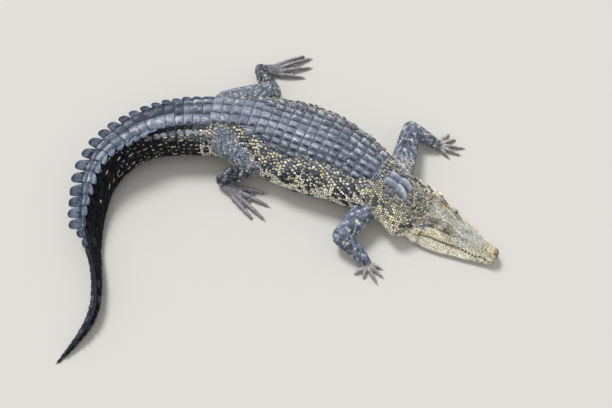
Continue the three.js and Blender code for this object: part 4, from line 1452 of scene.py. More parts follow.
@dataclass
class Coat:
    """One piece of joined scales, snapped to the finished skin."""

    name: str
    slot: Slot
    nodes: list[str]
    families: list[Scales]
    lift_limit: float = 7.0  # a plate whose root moves further than this to reach the skin is left out
    least_span: float = 0.55  # so is one that keeps less than this share of its length there
    floor_clear: float = 1.2  # and one that lies lower than this, unless it faces upwards
    piece: bpy.types.Object = field(init=False)

    def snapped(self, points: Array, hide: bpy.types.Object) -> Array:
        """The nearest places of the hide to many points."""
        cloud = bpy.data.meshes.new("footprints")
        cloud.vertices.add(len(points))
        cloud.vertices.foreach_set("co", points.astype(np.float32).ravel())
        thing = object_of(cloud)
        shrink = thing.modifiers.new("snap", "SHRINKWRAP")
        shrink.target, shrink.wrap_method = hide, "NEAREST_SURFACEPOINT"
        thing = evaluated(thing, "footprints")
        found = coordinates_of(thing.data)
        bpy.data.objects.remove(thing)
        return found

    def build(self, hide: bpy.types.Object) -> None:
        """Lay every family on the hide and join it into one mesh with colours and the unwrap."""
        feet = [family.footprint() for family in self.families]
        flat = self.snapped(np.concatenate([foot.reshape(-1, 3) for foot in feet]), hide)
        points, faces, colours, patches, base = [], [], [], [], 0
        for family, foot in zip(self.families, feet):
            count = foot[..., 0].size
            laid, flat = flat[:count].reshape(foot.shape), flat[count:]
            made = self.plates(family, foot, laid, base)
            if made is None:
                continue
            for whole, part in zip((points, faces, colours, patches), made):
                whole.append(part)
            base += len(made[0])
        mesh = mesh_of(self.name, np.concatenate(points), [part for pair in faces for part in pair])
        paint(mesh, "tint", np.concatenate(colours))
        self.unwrap(mesh, np.concatenate(patches))
        self.piece = object_of(mesh)
        triangles = sum(len(part) * (part.shape[1] - 2) for pair in faces for part in pair)
        LOG.info("%s: %d triangles", self.name, triangles)

    def plates(
        self, family: Scales, foot: Array, laid: Array, base: int,
    ) -> tuple[Array, list[Array], Array, Array] | None:
        """One family's points, faces, colours and patch places.

        Args:
            family: the plates.
            foot: their footprints on the smooth surface.
            laid: the same points on the hide.
            base: how many points the piece holds already.

        Returns:
            The arrays, or nothing where no plate is left.
        """
        n = family.plate.steps
        mid = n // 2
        moved = np.linalg.norm(laid[:, mid, mid] - foot[:, mid, mid], axis=-1) / MM
        spans = np.linalg.norm(laid[:, 0, mid] - laid[:, -1, mid], axis=-1) / MM
        up = unit(np.cross(np.gradient(laid, axis=1), np.gradient(laid, axis=2)) * family.hand)
        lowest = laid[:, mid, mid, 2] / MM
        kept = (moved < self.lift_limit) & (spans > family.long * self.least_span)
        kept &= (lowest > self.floor_clear) | (up[:, mid, mid, 2] > 0.2)
        if not kept.any():
            return None
        laid, up = picked(kept, laid, up)
        mean = unit(up.mean(axis=(1, 2), keepdims=True))
        up = unit(up * 0.5 + mean * 0.5)
        drawn = laid / MM
        grain = noise(drawn, 5.0, 31, 2)
        rise = family.plate.height(family.size[kept], family.keel[kept], grain)
        points = within(laid + up * rise[..., None] * MM)
        colours = self.colours(family, kept, rise, grain, drawn)
        index = np.arange(len(points) * n * n).reshape(-1, n, n) + base
        quads = np.stack([
            index[:, :-1, :-1], index[:, 1:, :-1], index[:, 1:, 1:], index[:, :-1, 1:],
        ], axis=-1)
        rim = np.concatenate([
            index[:, 0, :-1], index[:, :-1, -1], index[:, -1, :0:-1], index[:, :0:-1, 0],
        ], axis=1)
        top = quads.reshape(-1, 4)
        if family.hand < 0:
            top, rim = top[:, ::-1], rim[:, ::-1]
        patch = np.stack(family.plate.outline(family.corner[kept]), axis=-1) * PATCH
        patch = patch + family.unwrap[kept][:, None, None]
        return points.reshape(-1, 3), [top, rim], colours.reshape(-1, 3), patch.reshape(-1, 2)

    def colours(self, family: Scales, kept: Array, rise: Array, grain: Array, drawn: Array) -> Array:
        """Rim, side and rubbed-top colours by height, a painted shadow beside the keel, and fine mottling."""
        tall = family.plate.dome + family.plate.keel + family.plate.tilt
        share = np.clip(rise / tall, 0, 1)
        a, b = family.plate.grid()
        mark = family.mark[kept][:, None, None]
        base, gap = family.base[kept][:, None, None], family.gap[kept][:, None, None]
        # the rim pales at the plate's two ends as strongly as the painted keel shadow is dark, so that cross
        # joints show less
        rim = blend(gap, base * 0.72, smoothstep(np.abs(a), 0.6, 0.9) * mark)
        # low parts take the rim's colour: the dark joints, and in the dips beside a keel a painted shade
        tint = blend(rim, base, smoothstep(share, 0.0, 0.2))
        blotch = noise(drawn, 9.0, 33, 2)
        rubbed = smoothstep(share + (grain - 0.5) * 0.55 + (blotch - 0.5) * 0.5, 0.36, 0.8)
        rubbed = rubbed * family.wear[kept][:, None, None]
        tint = blend(tint, family.worn[kept][:, None, None], np.clip(rubbed, 0, 1))
        # painted shadow: a blue-black band along the keel's side, mostly on one side of the plate, standing
        # in for the shade the keel casts
        dash = smoothstep(-b, 0.42, 0.66) + 0.7 * smoothstep(b, 0.72, 0.92)
        dash = dash * fall(np.abs(a + 0.08), 0.45, 0.8)
        tint = blend(tint, TONE.blue_black * 0.6, dash * mark)
        return tint * ((0.85 + 0.42 * noise(drawn, 2.2, 32, 1)) * (0.74 + 0.52 * blotch))[..., None]

    def unwrap(self, mesh: bpy.types.Mesh, patches: Array) -> None:
        """Give each plate its small patch at its root's place on the unwrapped skin."""
        corner = np.empty(len(mesh.loops), np.int32)
        mesh.loops.foreach_get("vertex_index", corner)
        layer = mesh.uv_layers.new(name="OFBake")
        layer.uv.foreach_set("vector", np.clip(patches[corner], 0.001, 0.999).astype(np.float32).ravel())


def body_unwrap(at: Array, arc: Array) -> Array:
    """Places on the unwrapped body: along it one way, round it from belly line to belly line the other."""
    around = UNWRAP_SPAN / 2 * arc / BODY_SHAPE.girth(at, arc)
    return np.stack([UNWRAP_EDGE + UNWRAP_SPAN * at / LENGTH, 0.5 + around], axis=-1)


def jitter(chance: np.random.Generator, half: float, places: Array) -> Array:
    """An even chance shift for each place, up to `half` either way."""
    return chance.uniform(-half, half, len(places))


def picked(kept: Array, *parts: Array) -> tuple[Array, ...]:
    """The same chosen places of several arrays."""
    return tuple(part[kept] for part in parts)


def on_body(
    plate: Plate, at: Array, arc: Array, long: Array | float, wide: Array | float, base: Array, worn: Array,
    gap: Array, **more: object,
) -> Scales:
    """A family round the body, with each plate's patch where it lies on the unwrapped body.

    Args:
        plate: the family's form.
        at: distances from the snout.
        arc: lengths round from the dorsal line.
        long: the plates' lengths.
        wide: their widths.
        base: colours of their sides.
        worn: colours of their rubbed tops.
        gap: colours of their rims.
        more: whatever else `scale_family` takes.

    Returns:
        The family.
    """
    spots = body_unwrap(at, arc)
    colours = (base, worn, gap)
    return scale_family(BODY_SHAPE.on_girth, plate, at, arc, long, wide, *colours, spots, hand=-1, **more)


def staggered(rows: Array, columns: Array, step: float) -> tuple[Array, Array]:
    """Every crossing of rows and columns, with each second row moved by half a step."""
    u, v = np.meshgrid(rows, columns, indexing="ij")
    v = v + (np.arange(len(rows)) % 2)[:, None] * step / 2
    return u.ravel(), v.ravel()


def clear_of(u: Array, v: Array, plates: Scales, margin: float) -> Array:
    """Which places lie outside every plate and a margin, by a sum of the fourth powers of their shares."""
    along = (u[:, None] - plates.u) / (plates.long / 2 + margin)
    across = (v[:, None] - plates.v) / (plates.wide / 2 + margin)
    return (along**4 + across**4).min(axis=1) > 1


RUBBED = 1.35  # how much brighter than its sides a bead's top is


@dataclass
class TrunkArmour:
    """The back's rows of keeled plates, and the large dark and small pale scales of the flanks below them."""

    row_pitch: float = 33.5
    first: float = 494
    last: float = 1094
    columns: tuple[float, ...] = (13.5, 40.5, 67.5, 93)
    widths: tuple[float, ...] = (27.5, 27.5, 26.5, 24)
    big_pitch: float = 25.0
    middle_pitch: float = 12.6
    small_pitch: float = 8.8
    reach_at: tuple[float, ...] = (480, 540, 640, 760, 860, 925, 985, 1094)
    left_reach: tuple[float, ...] = (96, 112, 122, 124, 122, 108, 92, 78)
    right_reach: tuple[float, ...] = (58, 78, 88, 99, 94, 70, 48, 54)
    armour: Plate = Plate(
        dome=3.4, keel=6.5, keel_wide=0.17, corner=0.5, tilt=2.4, rough=0.4, steps=17, hollow=2.4,
        shoulder=0.3,
    )
    oval: Plate = Plate(dome=3.2, keel=3.4, keel_wide=0.3, corner=1.0, tilt=1.0, rough=0.2, steps=9, sink=0.5)
    bead: Plate = Plate(dome=2.3, corner=1.0, rough=0.2, steps=5, sink=0.5, shoulder=0.5)

    def spread(self, at: Array) -> Array:
        """How far the columns widen towards the tail."""
        return 1 + 0.5 * smoothstep(at, 860, 965)

    def edge(self, at: Array, side: Array) -> Array:
        """How far round the back's plates reach: on the left where side is above 0, else on the right."""
        left, right = (np.interp(at, self.reach_at, reach) for reach in (self.left_reach, self.right_reach))
        return np.where(side > 0, left, right)

    def back(self) -> Scales:
        """Cross rows of plates: lumpy at the shoulders, then broad, flat and pale in the middle columns."""
        rows = np.arange(self.first, self.last, self.row_pitch)
        signed = np.array([s * c for c in self.columns for s in (1, -1)])
        wide, column_of = np.repeat(self.widths, 2), np.repeat(np.arange(len(self.columns)), 2)
        at, column = (part.ravel() for part in np.meshgrid(rows, np.arange(len(signed)), indexing="ij"))
        chance = np.random.default_rng(71)
        spread = self.spread(at)
        arc = signed[column] * spread + 6 * fall(at, 860, 960)
        far = (column_of[column] == 3) & (arc > 0)
        arc = arc + np.where(column_of[column] == 3, jitter(chance, 4, at), 0) + 5.0 * far
        kept = np.abs(arc) + 0.35 * wide[column] * spread < self.edge(at, arc)
        kept &= (column_of[column] < 3) | (chance.random(len(at)) < 0.88)
        at, column, arc, spread = picked(kept, at, column, arc, spread)
        order, far = column_of[column], far[kept]
        outer, front = order / 3, fall(at, 560, 780)
        long = self.row_pitch * np.array([1.03, 1.02, 0.97, 0.84])[order]
        tone = blend(TONE.slate * 1.2, TONE.slate * 0.84, outer)
        tone = blend(tone, TONE.tail_blue * 0.95, front * 0.5)
        tone = blend(tone, TONE.tail_blue * 0.7, smoothstep(chance.random(len(at)), 0.75, 1.0) * 0.6)
        gap = blend(TONE.slate * 0.66, TONE.gap * 0.8, smoothstep(at, 640, 900))
        return scale_family(
            BODY_SHAPE.on_girth, self.armour, at + front * chance.normal(0, 2.0, len(at)),
            arc + front * chance.normal(0, 1.8, len(at)), long, (wide[column] + 6 * far) * spread,
            tone, TONE.worn * 1.06, gap, body_unwrap(at, arc), seed=1, hand=-1,
            wear=0.95 - 0.15 * outer, vary=0.10, keel=np.array([0.35, 0.6, 1.15, 1.4])[order] + 0.5 * front,
            corner=0.25 + 0.35 * np.maximum(front, smoothstep(outer, 0.3, 0.9)),
            # painted keel shadow: full on the right side, weaker on the left
            mark=np.where(arc < 12, 1.0, 0.7),
        )

    def flank(self, pitch: float, top: float, low: float) -> tuple[Array, Array, Array, Array]:
        """Staggered crossings on both flanks.

        Args:
            pitch: the spacing.
            top: how far from the plates' edge they start; above it, they fill the shoulders too.
            low: the share of the girth at which they stop.

        Returns:
            Distances, arcs, shares of the girth, and how far below the back's plates they lie.
        """
        rows = np.arange(466, self.last + 22, pitch * 0.9)
        columns = np.arange(0, int(240 / pitch)) * pitch
        at, run = staggered(rows, columns, pitch)
        at, side = np.concatenate([at, at]), np.repeat([1.0, -1.0], len(at))
        edge = self.edge(at, side)
        away = np.where((at < 500) & (top < 0), 2.0, edge + top) + np.concatenate([run, run])
        share = away / BODY_SHAPE.girth(at, side)
        kept = (share < low) & ((at < self.last - 16) | (away > edge + 4))
        return at[kept], (away * side)[kept], share[kept], (away - edge)[kept]

    def bosses(self, back: Scales) -> Scales:
        """Large keeled scales strewn over the flanks, grey-blue above and blue-black below."""
        chance = np.random.default_rng(7)
        at, arc, _, below = self.flank(self.big_pitch, 9, 0.84)
        at = at + jitter(chance, 5, at)
        arc = arc + jitter(chance, 5, at)
        kept = (chance.random(len(at)) < 0.66 - 0.2 * smoothstep(below, 40, 90)) & clear_of(at, arc, back, 3)
        at, arc, below = picked(kept, at, arc, below)
        size = chance.uniform(0.72, 1.15, len(at))
        tone = blend(TONE.slate * 0.7, TONE.blue_black * 0.8, smoothstep(below, 4, 40))
        worn = blend(TONE.worn * 0.95, TONE.slate, smoothstep(below, 8, 45))
        return on_body(
            self.oval, at, arc, 20.5 * size, 13.5 * size, tone, worn, TONE.tail_black, seed=2, wear=0.8,
            vary=0.22,
        )

    def middling(self, back: Scales, bosses: Scales) -> Scales:
        """Oblong cream, yellow and grey scales in a band below the plates, each with a dark rim."""
        chance = np.random.default_rng(47)
        at, arc, _, below = self.flank(self.middle_pitch, 2, 0.84)
        at, arc = at + jitter(chance, 1.5, at), arc + jitter(chance, 1.5, at)
        kept = below + jitter(chance, 10, at) < 62
        kept &= clear_of(at, arc, back, 2.5) & clear_of(at, arc, bosses, 3.2)
        at, arc = picked(kept, at, arc)
        pick = chance.random((len(at), 1))
        tone = chosen(
            pick, (0.55, TONE.cream * 0.88), (0.66, TONE.yellow * 0.95), (0.86, TONE.neck * 0.95),
            (1, TONE.slate * 0.7),
        )
        tone = blend(tone, TONE.neck, smoothstep(arc, 0, 4) * 0.6)
        return on_body(
            self.bead, at, arc, 12.8, 9.6, tone, tone * RUBBED, TONE.tail_black * 0.7, seed=4, wear=1.0,
            vary=0.3,
        )

    def beads(self, others: Sequence[Scales]) -> Scales:
        """Small grains in what the other scales leave: grey and dark above, white towards the belly."""
        chance = np.random.default_rng(37)
        at, arc, share, below = self.flank(self.small_pitch, -60, 0.86)
        at, arc = at + jitter(chance, 1.2, at), arc + jitter(chance, 1.2, at)
        kept = np.logical_and.reduce([clear_of(at, arc, other, 1.3) for other in others])
        at, arc, share, below = picked(kept, at, arc, share, below)
        low = smoothstep(below - 14.0 * (arc > 0) + jitter(chance, 9, at), -14, 2)
        deep = smoothstep(below + jitter(chance, 9, at), 30, 60)
        pick = chance.random(len(at))
        tone = blend(TONE.slate, TONE.cream * 0.9, low * 0.9)
        tone = blend(tone, TONE.yellow, (pick < 0.30) * low * 0.6)
        tone = blend(tone, TONE.neck * 0.75, (pick > 0.62) * low * (1 - deep) * 0.85)
        tone = blend(tone, TONE.neck, smoothstep(arc, 0, 4) * (1 - deep) * 0.6)
        tone = blend(tone, TONE.belly * 1.15, deep * 0.9)
        tone = blend(tone, TONE.gap, (chance.random(len(at)) < 0.12) * 0.8)
        return on_body(
            self.bead, at, arc, self.small_pitch * 1.04, self.small_pitch * 0.9, tone * 0.95, tone * RUBBED,
            TONE.tail_black, seed=3, wear=1.0, vary=0.28,
        )

    def build(self, hide: bpy.types.Object) -> list[Coat]:
        """The trunk's coat, in two pieces."""
        back = self.back()
        bosses = self.bosses(back)
        middling = self.middling(back, bosses)
        beads = self.beads((back, bosses, middling))
        made = [
            Coat("back_plates", Slot.BACK, ["trunk"], [back, bosses], 10.0),
            Coat("flank_scales", Slot.BACK, ["trunk"], [middling, beads]),
        ]
        for coat in made:
            coat.build(hide)
        return made


@dataclass
class NeckArmour:
    """The neck's grains and its shield of large keeled plates."""

    fine_pitch: float = 6.3
    pitch: float = 8.6
    grain: Plate = Plate(
        dome=2.0, keel=0.5, keel_wide=0.5, corner=1.0, rough=0.25, steps=5, sink=0.5, shoulder=0.5,
    )
    knob: Plate = Plate(dome=3.0, keel=1.8, keel_wide=0.35, corner=1.0, rough=0.22, steps=7, sink=0.5)
    shield: Plate = Plate(
        dome=5.0, keel=13.0, keel_wide=0.33, corner=0.5, tilt=3.0, sink=1.5, steps=19, back=0.3, rough=0.4,
        shoulder=0.8,
    )
    places: tuple[tuple[float, float, float, float], ...] = (  # distance, arc, size, turn of the keel
        (374, 20, 1.0, -0.16), (374, -15, 1.0, 0.16), (415, 18, 0.96, 0.12), (415, -14, 0.96, -0.12),
        (398, 50, 0.55, -0.1), (400, -46, 0.55, 0.1),
    )
    long: float = 56
    wide: float = 38

    def field(self, pitch: float, inner: bool) -> tuple[Array, Array, Array]:
        """Staggered crossings round the neck, off the skull table and the back's plates.

        Args:
            pitch: the spacing.
            inner: whether they lie on the nape just behind the head, or everywhere else.

        Returns:
            Distances, arcs and shares of the girth.
        """
        rows = np.arange(264, 474, pitch * 0.9)
        columns = np.arange(-int(230 / pitch), int(230 / pitch) + 1) * pitch
        at, arc = staggered(rows, columns, pitch)
        share = np.abs(arc) / BODY_SHAPE.girth(at, arc)
        on_table = (at < 268) & (np.abs(arc) < 40)
        nape = (np.abs(arc) < 74 - 0.25 * (at - 264)) & (at < 348)
        kept = (share < 0.84) & ~on_table & (nape == inner)
        return at[kept], arc[kept], share[kept]

    def grains(self, inner: bool, others: Sequence[Scales], seed: int) -> Scales:
        """Small grains: grey-brown and fine on the nape, cream, yellow and coarse at the sides.

        Args:
            inner: whether they lie on the nape.
            others: larger plates that they leave free.
            seed: picks the chance differences.

        Returns:
            The grains.
        """
        chance = np.random.default_rng(seed)
        pitch = self.fine_pitch if inner else self.pitch
        at, arc, share = self.field(pitch, inner)
        kept = np.logical_and.reduce([clear_of(at, arc, other, 1.2) for other in others])
        at, arc, share = picked(kept, at, arc, share)
        pick = chance.random((len(at), 1))
        grey = chosen(pick, (0.60, TONE.neck * 1.2), (0.72, TONE.gap * 1.6), (1, TONE.cream * 0.9))
        pale = chosen(pick, (0.60, TONE.cream * 1.1), (0.84, TONE.yellow * 1.1), (1, TONE.neck))
        side = smoothstep(np.abs(arc) + jitter(chance, 14, at), 44, 92)
        tone = blend(grey, pale, side)
        tone = blend(tone, TONE.gap, (chance.random(len(at)) < 0.09) * 0.8 * fall(share, 0.5, 0.6))
        tone = blend(tone, TONE.belly * 1.12, smoothstep(share, 0.40, 0.54) * 0.9)
        grow = 1 + 0.2 * smoothstep(share, 0.5, 0.6) * fall(at, 330, 380)
        return on_body(
            self.grain, at, arc, pitch * grow, pitch * 0.88 * grow, tone * 0.92, tone * RUBBED,
            TONE.tail_black, seed=seed, wear=1.0, vary=0.3,
        )

    def families(self) -> list[Scales]:
        """The grains, the larger knobs strewn among them, and the shield's plates."""
        chance = np.random.default_rng(17)
        place_at, place_arc, size, turn = (np.array(column, float) for column in zip(*self.places))
        tone = blend(TONE.slate * 1.5, TONE.slate * 1.0, (size < 0.9) * 1.0)
        shield = on_body(
            self.shield, place_at, place_arc, self.long * size, self.wide * size, tone, TONE.worn * 1.05,
            # the shield's plates carry a painted shadow beside their keels
            TONE.gap * 0.8, seed=6, wear=0.9, vary=0.04, keel=size, mark=0.6,
        )
        shield.size, shield.skew = size, turn
        found = [self.field(19.0, inner) for inner in (True, False)]
        at, arc, share = (np.concatenate(parts) for parts in zip(*found))
        at, arc = at + jitter(chance, 5, at), arc + jitter(chance, 5, at)
        kept = (chance.random(len(at)) < 0.34 + 0.3 * smoothstep(at, 400, 440)) & (share < 0.40) & (at > 290)
        kept &= clear_of(at, arc, shield, 6)
        at, arc, share = picked(kept, at, arc, share)
        dark = blend(TONE.slate * 0.6, TONE.blue_black * 0.8, smoothstep(share, 0.15, 0.4))
        worn = blend(TONE.worn * 0.7, TONE.slate, smoothstep(share, 0.2, 0.4))
        grow = chance.uniform(0.75, 1.3, len(at))
        knobs = on_body(
            self.knob, at, arc, 16 * grow, 12 * grow, dark, worn, TONE.tail_black, seed=16, wear=0.8,
            vary=0.2,
        )
        return [self.grains(True, (knobs, shield), 5), self.grains(False, (knobs, shield), 15), knobs, shield]

    def build(self, hide: bpy.types.Object) -> list[Coat]:
        """The neck's coat."""
        coat = Coat("neck_scales", Slot.BACK, ["neck"], self.families(), 10.0)
        coat.build(hide)
        return [coat]


@dataclass
class TailArmour:
    """The tail's rings of plates, the yellow dashes between them, and the crest."""

    first: float = 1095
    join: float = 1740
    pitch_at: tuple[float, ...] = (1095, 1250, 1400, 1500, 1720, 1800, 2110)
    pitch: tuple[float, ...] = (31.5, 32.5, 34.5, 36, 36, 30, 18)
    strip_plate: Plate = Plate(
        dome=2.6, keel=3.6, keel_wide=0.24, corner=0.25, tilt=1.4, rough=0.35, steps=13, hollow=1.6,
        shoulder=0.3,
    )
    plate: Plate = Plate(dome=1.9, keel=0.8, keel_wide=0.3, corner=0.3, tilt=0.8, rough=0.25, steps=8)
    dash: Plate = Plate(dome=2.4, corner=0.9, rough=0.3, steps=6)

    def rings(self) -> tuple[Array, Array]:
        """The middles of the rings and their lengths, greatest midway and least at the tip."""
        places, pitches, at = [], [], self.first
        while at < LENGTH - 12:
            step = float(np.interp(at, self.pitch_at, self.pitch))
            places.append(at)
            pitches.append(step)
            at += step
        return np.array(places), np.array(pitches)

    def crest_arc(self, at: Array) -> Array:
        """How far round the crest rows stand from the dorsal line."""
        return BODY_SHAPE.table.arc_at(at, np.radians(CREST("angle", at)))

    def row_arc(self, at: Array, side: float) -> Array:
        """How far round one crest row stands: the right one keeps nearer to the dorsal line at the root."""
        arc = self.crest_arc(at)
        out = 9 * smoothstep(at, 1300, 1400) * fall(at, 1560, 1680)
        return arc if side > 0 else np.minimum(arc + out, 54.0)

    def strip(self) -> Scales:
        """The plates between the crest rows: three across at the root, two for most of the way, then one."""
        places, pitches = self.rings()
        at, arc, long, wide = [], [], [], []
        edges = [self.row_arc(places, side) for side in (1, -1)]
        for place, pitch, left, right in zip(places, pitches, *edges):
            if place > self.join:
                continue
            shares = (0.0, 0.24, 0.62, 1.0) if left > 63 else (0.0, 0.5, 1.0) if left > 17 else (0.0, 1.0)
            cuts = left - (left + right) * np.array(shares)
            count = len(cuts) - 1
            at += [place] * count
            arc += list((cuts[1:] + cuts[:-1]) / 2)
            long += [pitch] * count
            wide += list(np.maximum(cuts[:-1] - cuts[1:], 7.0))
        at, arc, long, wide = (np.array(part, float) for part in (at, arc, long, wide))
        blue = smoothstep(arc, -6, 12) * smoothstep(at, 1120, 1200) * fall(at, 1330, 1420)
        tone = blend(TONE.slate * 1.12, TONE.tail_blue, smoothstep(at, 1150, 1450))
        tone = blend(tone, TONE.tail_blue * 0.48, blue)
        worn = blend(TONE.worn, TONE.worn * 0.76, smoothstep(at, 1150, 1400))
        gap = blend(TONE.gap * 0.8, TONE.gap * 0.3, smoothstep(at, 1110, 1300))
        return on_body(
            self.strip_plate, at, arc, long * 1.02, wide * 0.97, tone, worn, gap, seed=8,
            # a painted keel shadow on the plates near the tail's root
            wear=0.85 - 0.6 * blue, vary=0.13, mark=0.8 * fall(at, 1180, 1300),
        )

    def flank_places(self) -> tuple[Array, Array, Array, Array, Array]:
        """The flank plates: distances, arcs, lengths, widths and shares of the way from crest to belly."""
        places, pitches = self.rings()
        found: list[tuple[float, float, float, float, float]] = []
        for side in (1.0, -1.0):
            arcs = np.where(places > self.join, 3.0, self.row_arc(places, side))
            for place, pitch, edge in zip(places, pitches, arcs):
                end = float(BODY_SHAPE.girth(np.array(place), np.array(side))) * 0.92
                count = max(3, round((end - edge) / 18.5))
                step = (end - edge) / count
                middles = np.arange(count) + 0.5
                found += [(place, side * (edge + k * step), pitch, step, k / count) for k in middles]
        return tuple(np.array(column) for column in zip(*found))

    def flanks(self) -> list[Scales]:
        """Black flank plates with dull edges and a painted blue-grey sheen on their tops, bluish at the
        tail's end, and yellow dashes on the seams.
        """
        at, arc, long, wide, down = self.flank_places()
        chance = np.random.default_rng(23)
        places, _ = self.rings()
        start = [np.interp(at, places, self.row_arc(places, side)) for side in (1, -1)]
        row = np.rint((np.abs(arc) - np.where(arc > 0, *start)) / wide - 0.5)
        blue = (row == 1) * fall(at, 1290, 1360) * 0.9 + (row == 2) * fall(at, 1190, 1300) * 0.5
        left = smoothstep(arc, 0, 20) * fall(down, 0.5, 0.8)
        bluish = (chance.random(len(at)) < 0.35) * smoothstep(at, 1880, 2000)
        blueness = np.maximum(left * 0.35 * smoothstep(at, 1500, 1800), bluish * 0.5)
        tone = blend(TONE.tail_black * 0.6, TONE.tail_blue * 0.5, blueness)
        tone = blend(tone, TONE.slate * 0.7, np.clip(blue, 0, 1) * chance.uniform(0.5, 1, len(at)))
        tone = blend(tone, TONE.slate * 0.8, fall(at, 1090, 1180) * fall(down, 0.1, 0.5) * 0.5)
        rubbed = np.maximum(np.maximum(bluish * 0.5, left * 0.25), blue)
        # painted sheen: the black plates' tops take a dull blue-grey as light on them, fading towards the
        # tail's end, and giving way to pale wear on the blue rows, the bluish plates and the left flank
        sheen = blend(TONE.gap * 0.6, TONE.tail_blue * 0.8, chance.random(len(at)) ** 3)
        sheen = sheen * (1 - 0.55 * smoothstep(at, 1650, 1850))[:, None]
        rubbed = blend(sheen, TONE.worn * 0.8, np.clip(rubbed, 0, 1))
        plates = on_body(
            self.plate, at, arc, long * 0.97, wide * 0.95, tone, rubbed, TONE.tail_black * 0.2, seed=9,
            wear=0.4 + 0.4 * np.clip(blue, 0, 1), vary=0.2,
        )
        marked = (chance.random(len(at)) < 0.92 - 0.76 * smoothstep(at, 1400, 1660)) & (row > 0) & (at < 1860)
        marked &= down < 0.86
        seam_at, seam_arc = at + chance.uniform(-5, 7, len(at)), arc - np.sign(arc) * wide / 2
        form = {"wear": 0.9, "vary": 0.3, "corner": 0.9}
        dashes = on_body(
            self.dash, seam_at[marked], seam_arc[marked], chance.uniform(5, 26, marked.sum()),
            chance.uniform(2.8, 6.2, marked.sum()), TONE.yellow * 0.75, TONE.cream * 1.1, TONE.yellow * 0.3,
            seed=10, **form,
        )
        cross_at, cross_arc, cross_wide = picked(marked, at + long / 2, arc, wide)
        kept = chance.random(len(cross_at)) < 0.34
        ticks = on_body(
            self.dash, cross_at[kept], cross_arc[kept], chance.uniform(2.6, 4.0, kept.sum()),
            cross_wide[kept] * chance.uniform(0.3, 0.8, kept.sum()), TONE.cream * 0.75, TONE.cream,
            TONE.yellow * 0.4, seed=11, **form,
        )
        return [plates, dashes, ticks]

    def crest(self) -> tuple[Array, list[Array], Array, Array]:
        """The upright lobes: leaves that lean back, thick at the root, in two rows that join into one.

        Each lobe is a closed leaf. Its outline goes from the front foot over a round top to a steep back, and
        its two faces swell apart by a sine of the share across it.

        Returns:
            Points in the drawing frame, faces, colours and patch places.
        """
        places, pitches = self.rings()
        chance = np.random.default_rng(29)
        parts, tints, patches = [], [], []
        for place, pitch in zip(places, pitches):
            if place > LENGTH - 40:
                continue
            double = place < self.join
            for side in (1.0, -1.0) if double else (1.0,):
                edge = float(self.row_arc(np.array([place]), side)[0]) if double else 0.0
                tall = chance.uniform(0.93, 1.05)
                points, share = self.lobe(place + chance.uniform(-1, 1), pitch, edge * side, tall)
                parts.append(loft(points, (points[0].mean(axis=0), points[-1].mean(axis=0))))
                level = np.concatenate([share.ravel(), [0.0, 1.0]])
                shade = chance.uniform(0.8, 1.2) * (1.05 if side < 0 else 0.95)
                tint, grain = self.lobe_tint(parts[-1][0], level, place, shade)
                tints.append(tint)
                spot = body_unwrap(np.array([place]), np.array([edge * side]))
                patches.append(spot + np.stack([level, grain], axis=-1) * (2 * PATCH) - PATCH)
        points, faces = joined(parts)
        return points, faces, np.concatenate(tints), np.concatenate(patches)

    def lobe_tint(self, points: Array, level: Array, place: float, shade: float) -> tuple[Array, Array]:
        """A lobe's colours: dark blue at the foot with a painted shade where it stands on the tail, blotched
        grey-blue, pale along the rubbed rim.

        Args:
            points: the lobe's points.
            level: their shares of the height.
            place: the lobe's distance from the snout.
            shade: its own brightness.

        Returns:
            Linear colours, and the noise they were blotched with.
        """
        grain = noise(points, 7, 41, 3)
        fine = noise(points, 2.5, 42, 2)
        middle = smoothstep(level + (grain - 0.5) * 1.8, 0.1, 0.5) * fall(level + grain * 0.3, 0.75, 1.1)
        base = blend(TONE.tail_blue * 0.2 * shade, TONE.lobe * 0.8 * shade, grain)
        base = blend(base, TONE.worn * np.array((0.45, 0.5, 0.58)) * shade, middle * 0.75)
        late = float(smoothstep(np.array(place), 1745.0, 1850.0))
        base = blend(base, TONE.tail_black * 1.4, np.full(len(level), late * 0.78))
        # painted shade at the lobe's foot, where it stands on the tail
        base = blend(base, TONE.gap * 0.4, fall(level, 0.02, 0.26) * 0.8)
        return base * (0.75 + 0.5 * fine)[:, None], grain

    def lobe(self, place: float, pitch: float, arc: float, tall: float) -> tuple[Array, Array]:
        """One lobe as rings round its leaf, from the root to the tip.

        Args:
            place: its distance from the snout.
            pitch: the length of its ring of the tail.
            arc: where it stands round from the dorsal line.
            tall: a factor on its height.

        Returns:
            Points as [ring, place round it, 3], and each point's share of the height.
        """
        across, up = 14, 12
        high = float(CREST("high", np.array(place))) * tall
        if self.join - 70 < place < self.join:
            high = max(high, 44.0)
        near = float(smoothstep(np.array(place), 1220.0, 1330.0) * fall(np.array(place), 1660.0, 1745.0))
        near = near if arc < 0 else 0.0
        flat = float(smoothstep(np.array(place), 1180.0, 1300.0)) if arc < 0 else 1.0
        high = max(high * (1.08 if arc > 0 else 0.45 + 0.55 * flat), 40 * near)
        foot = BODY_SHAPE.on_girth(np.array([place - 1, place + 1, place, place]),
                                   np.array([arc, arc, arc - 1, arc + 1]))
        along = unit(foot[1] - foot[0])
        around = unit(foot[3] - foot[2])
        out = unit(np.cross(around, along) + around * (0.15 + 1.25 * near) * np.sign(arc))
        root = foot.mean(axis=0)
        level = np.sin(np.linspace(0, math.pi / 2, up))[:, None]
        turn = np.arange(2 * across) / (2 * across) * TAU
        narrowed = 0.58 - (0.13 + 0.28 * near) * level**1.3
        length = pitch * narrowed * np.sqrt(np.clip(1.004 - level**7, 0.004, 1))
        thick = (3.4 + 0.06 * pitch) * (1 - 0.62 * level) * np.sqrt(np.clip(1.01 - level**6, 0.01, 1))
        lean = pitch * (0.34 + 0.14 * near) * level**1.3
        run = np.cos(turn)[None] * length + lean
        width = signed_power(np.sin(turn), np.array(0.9))[None] * thick
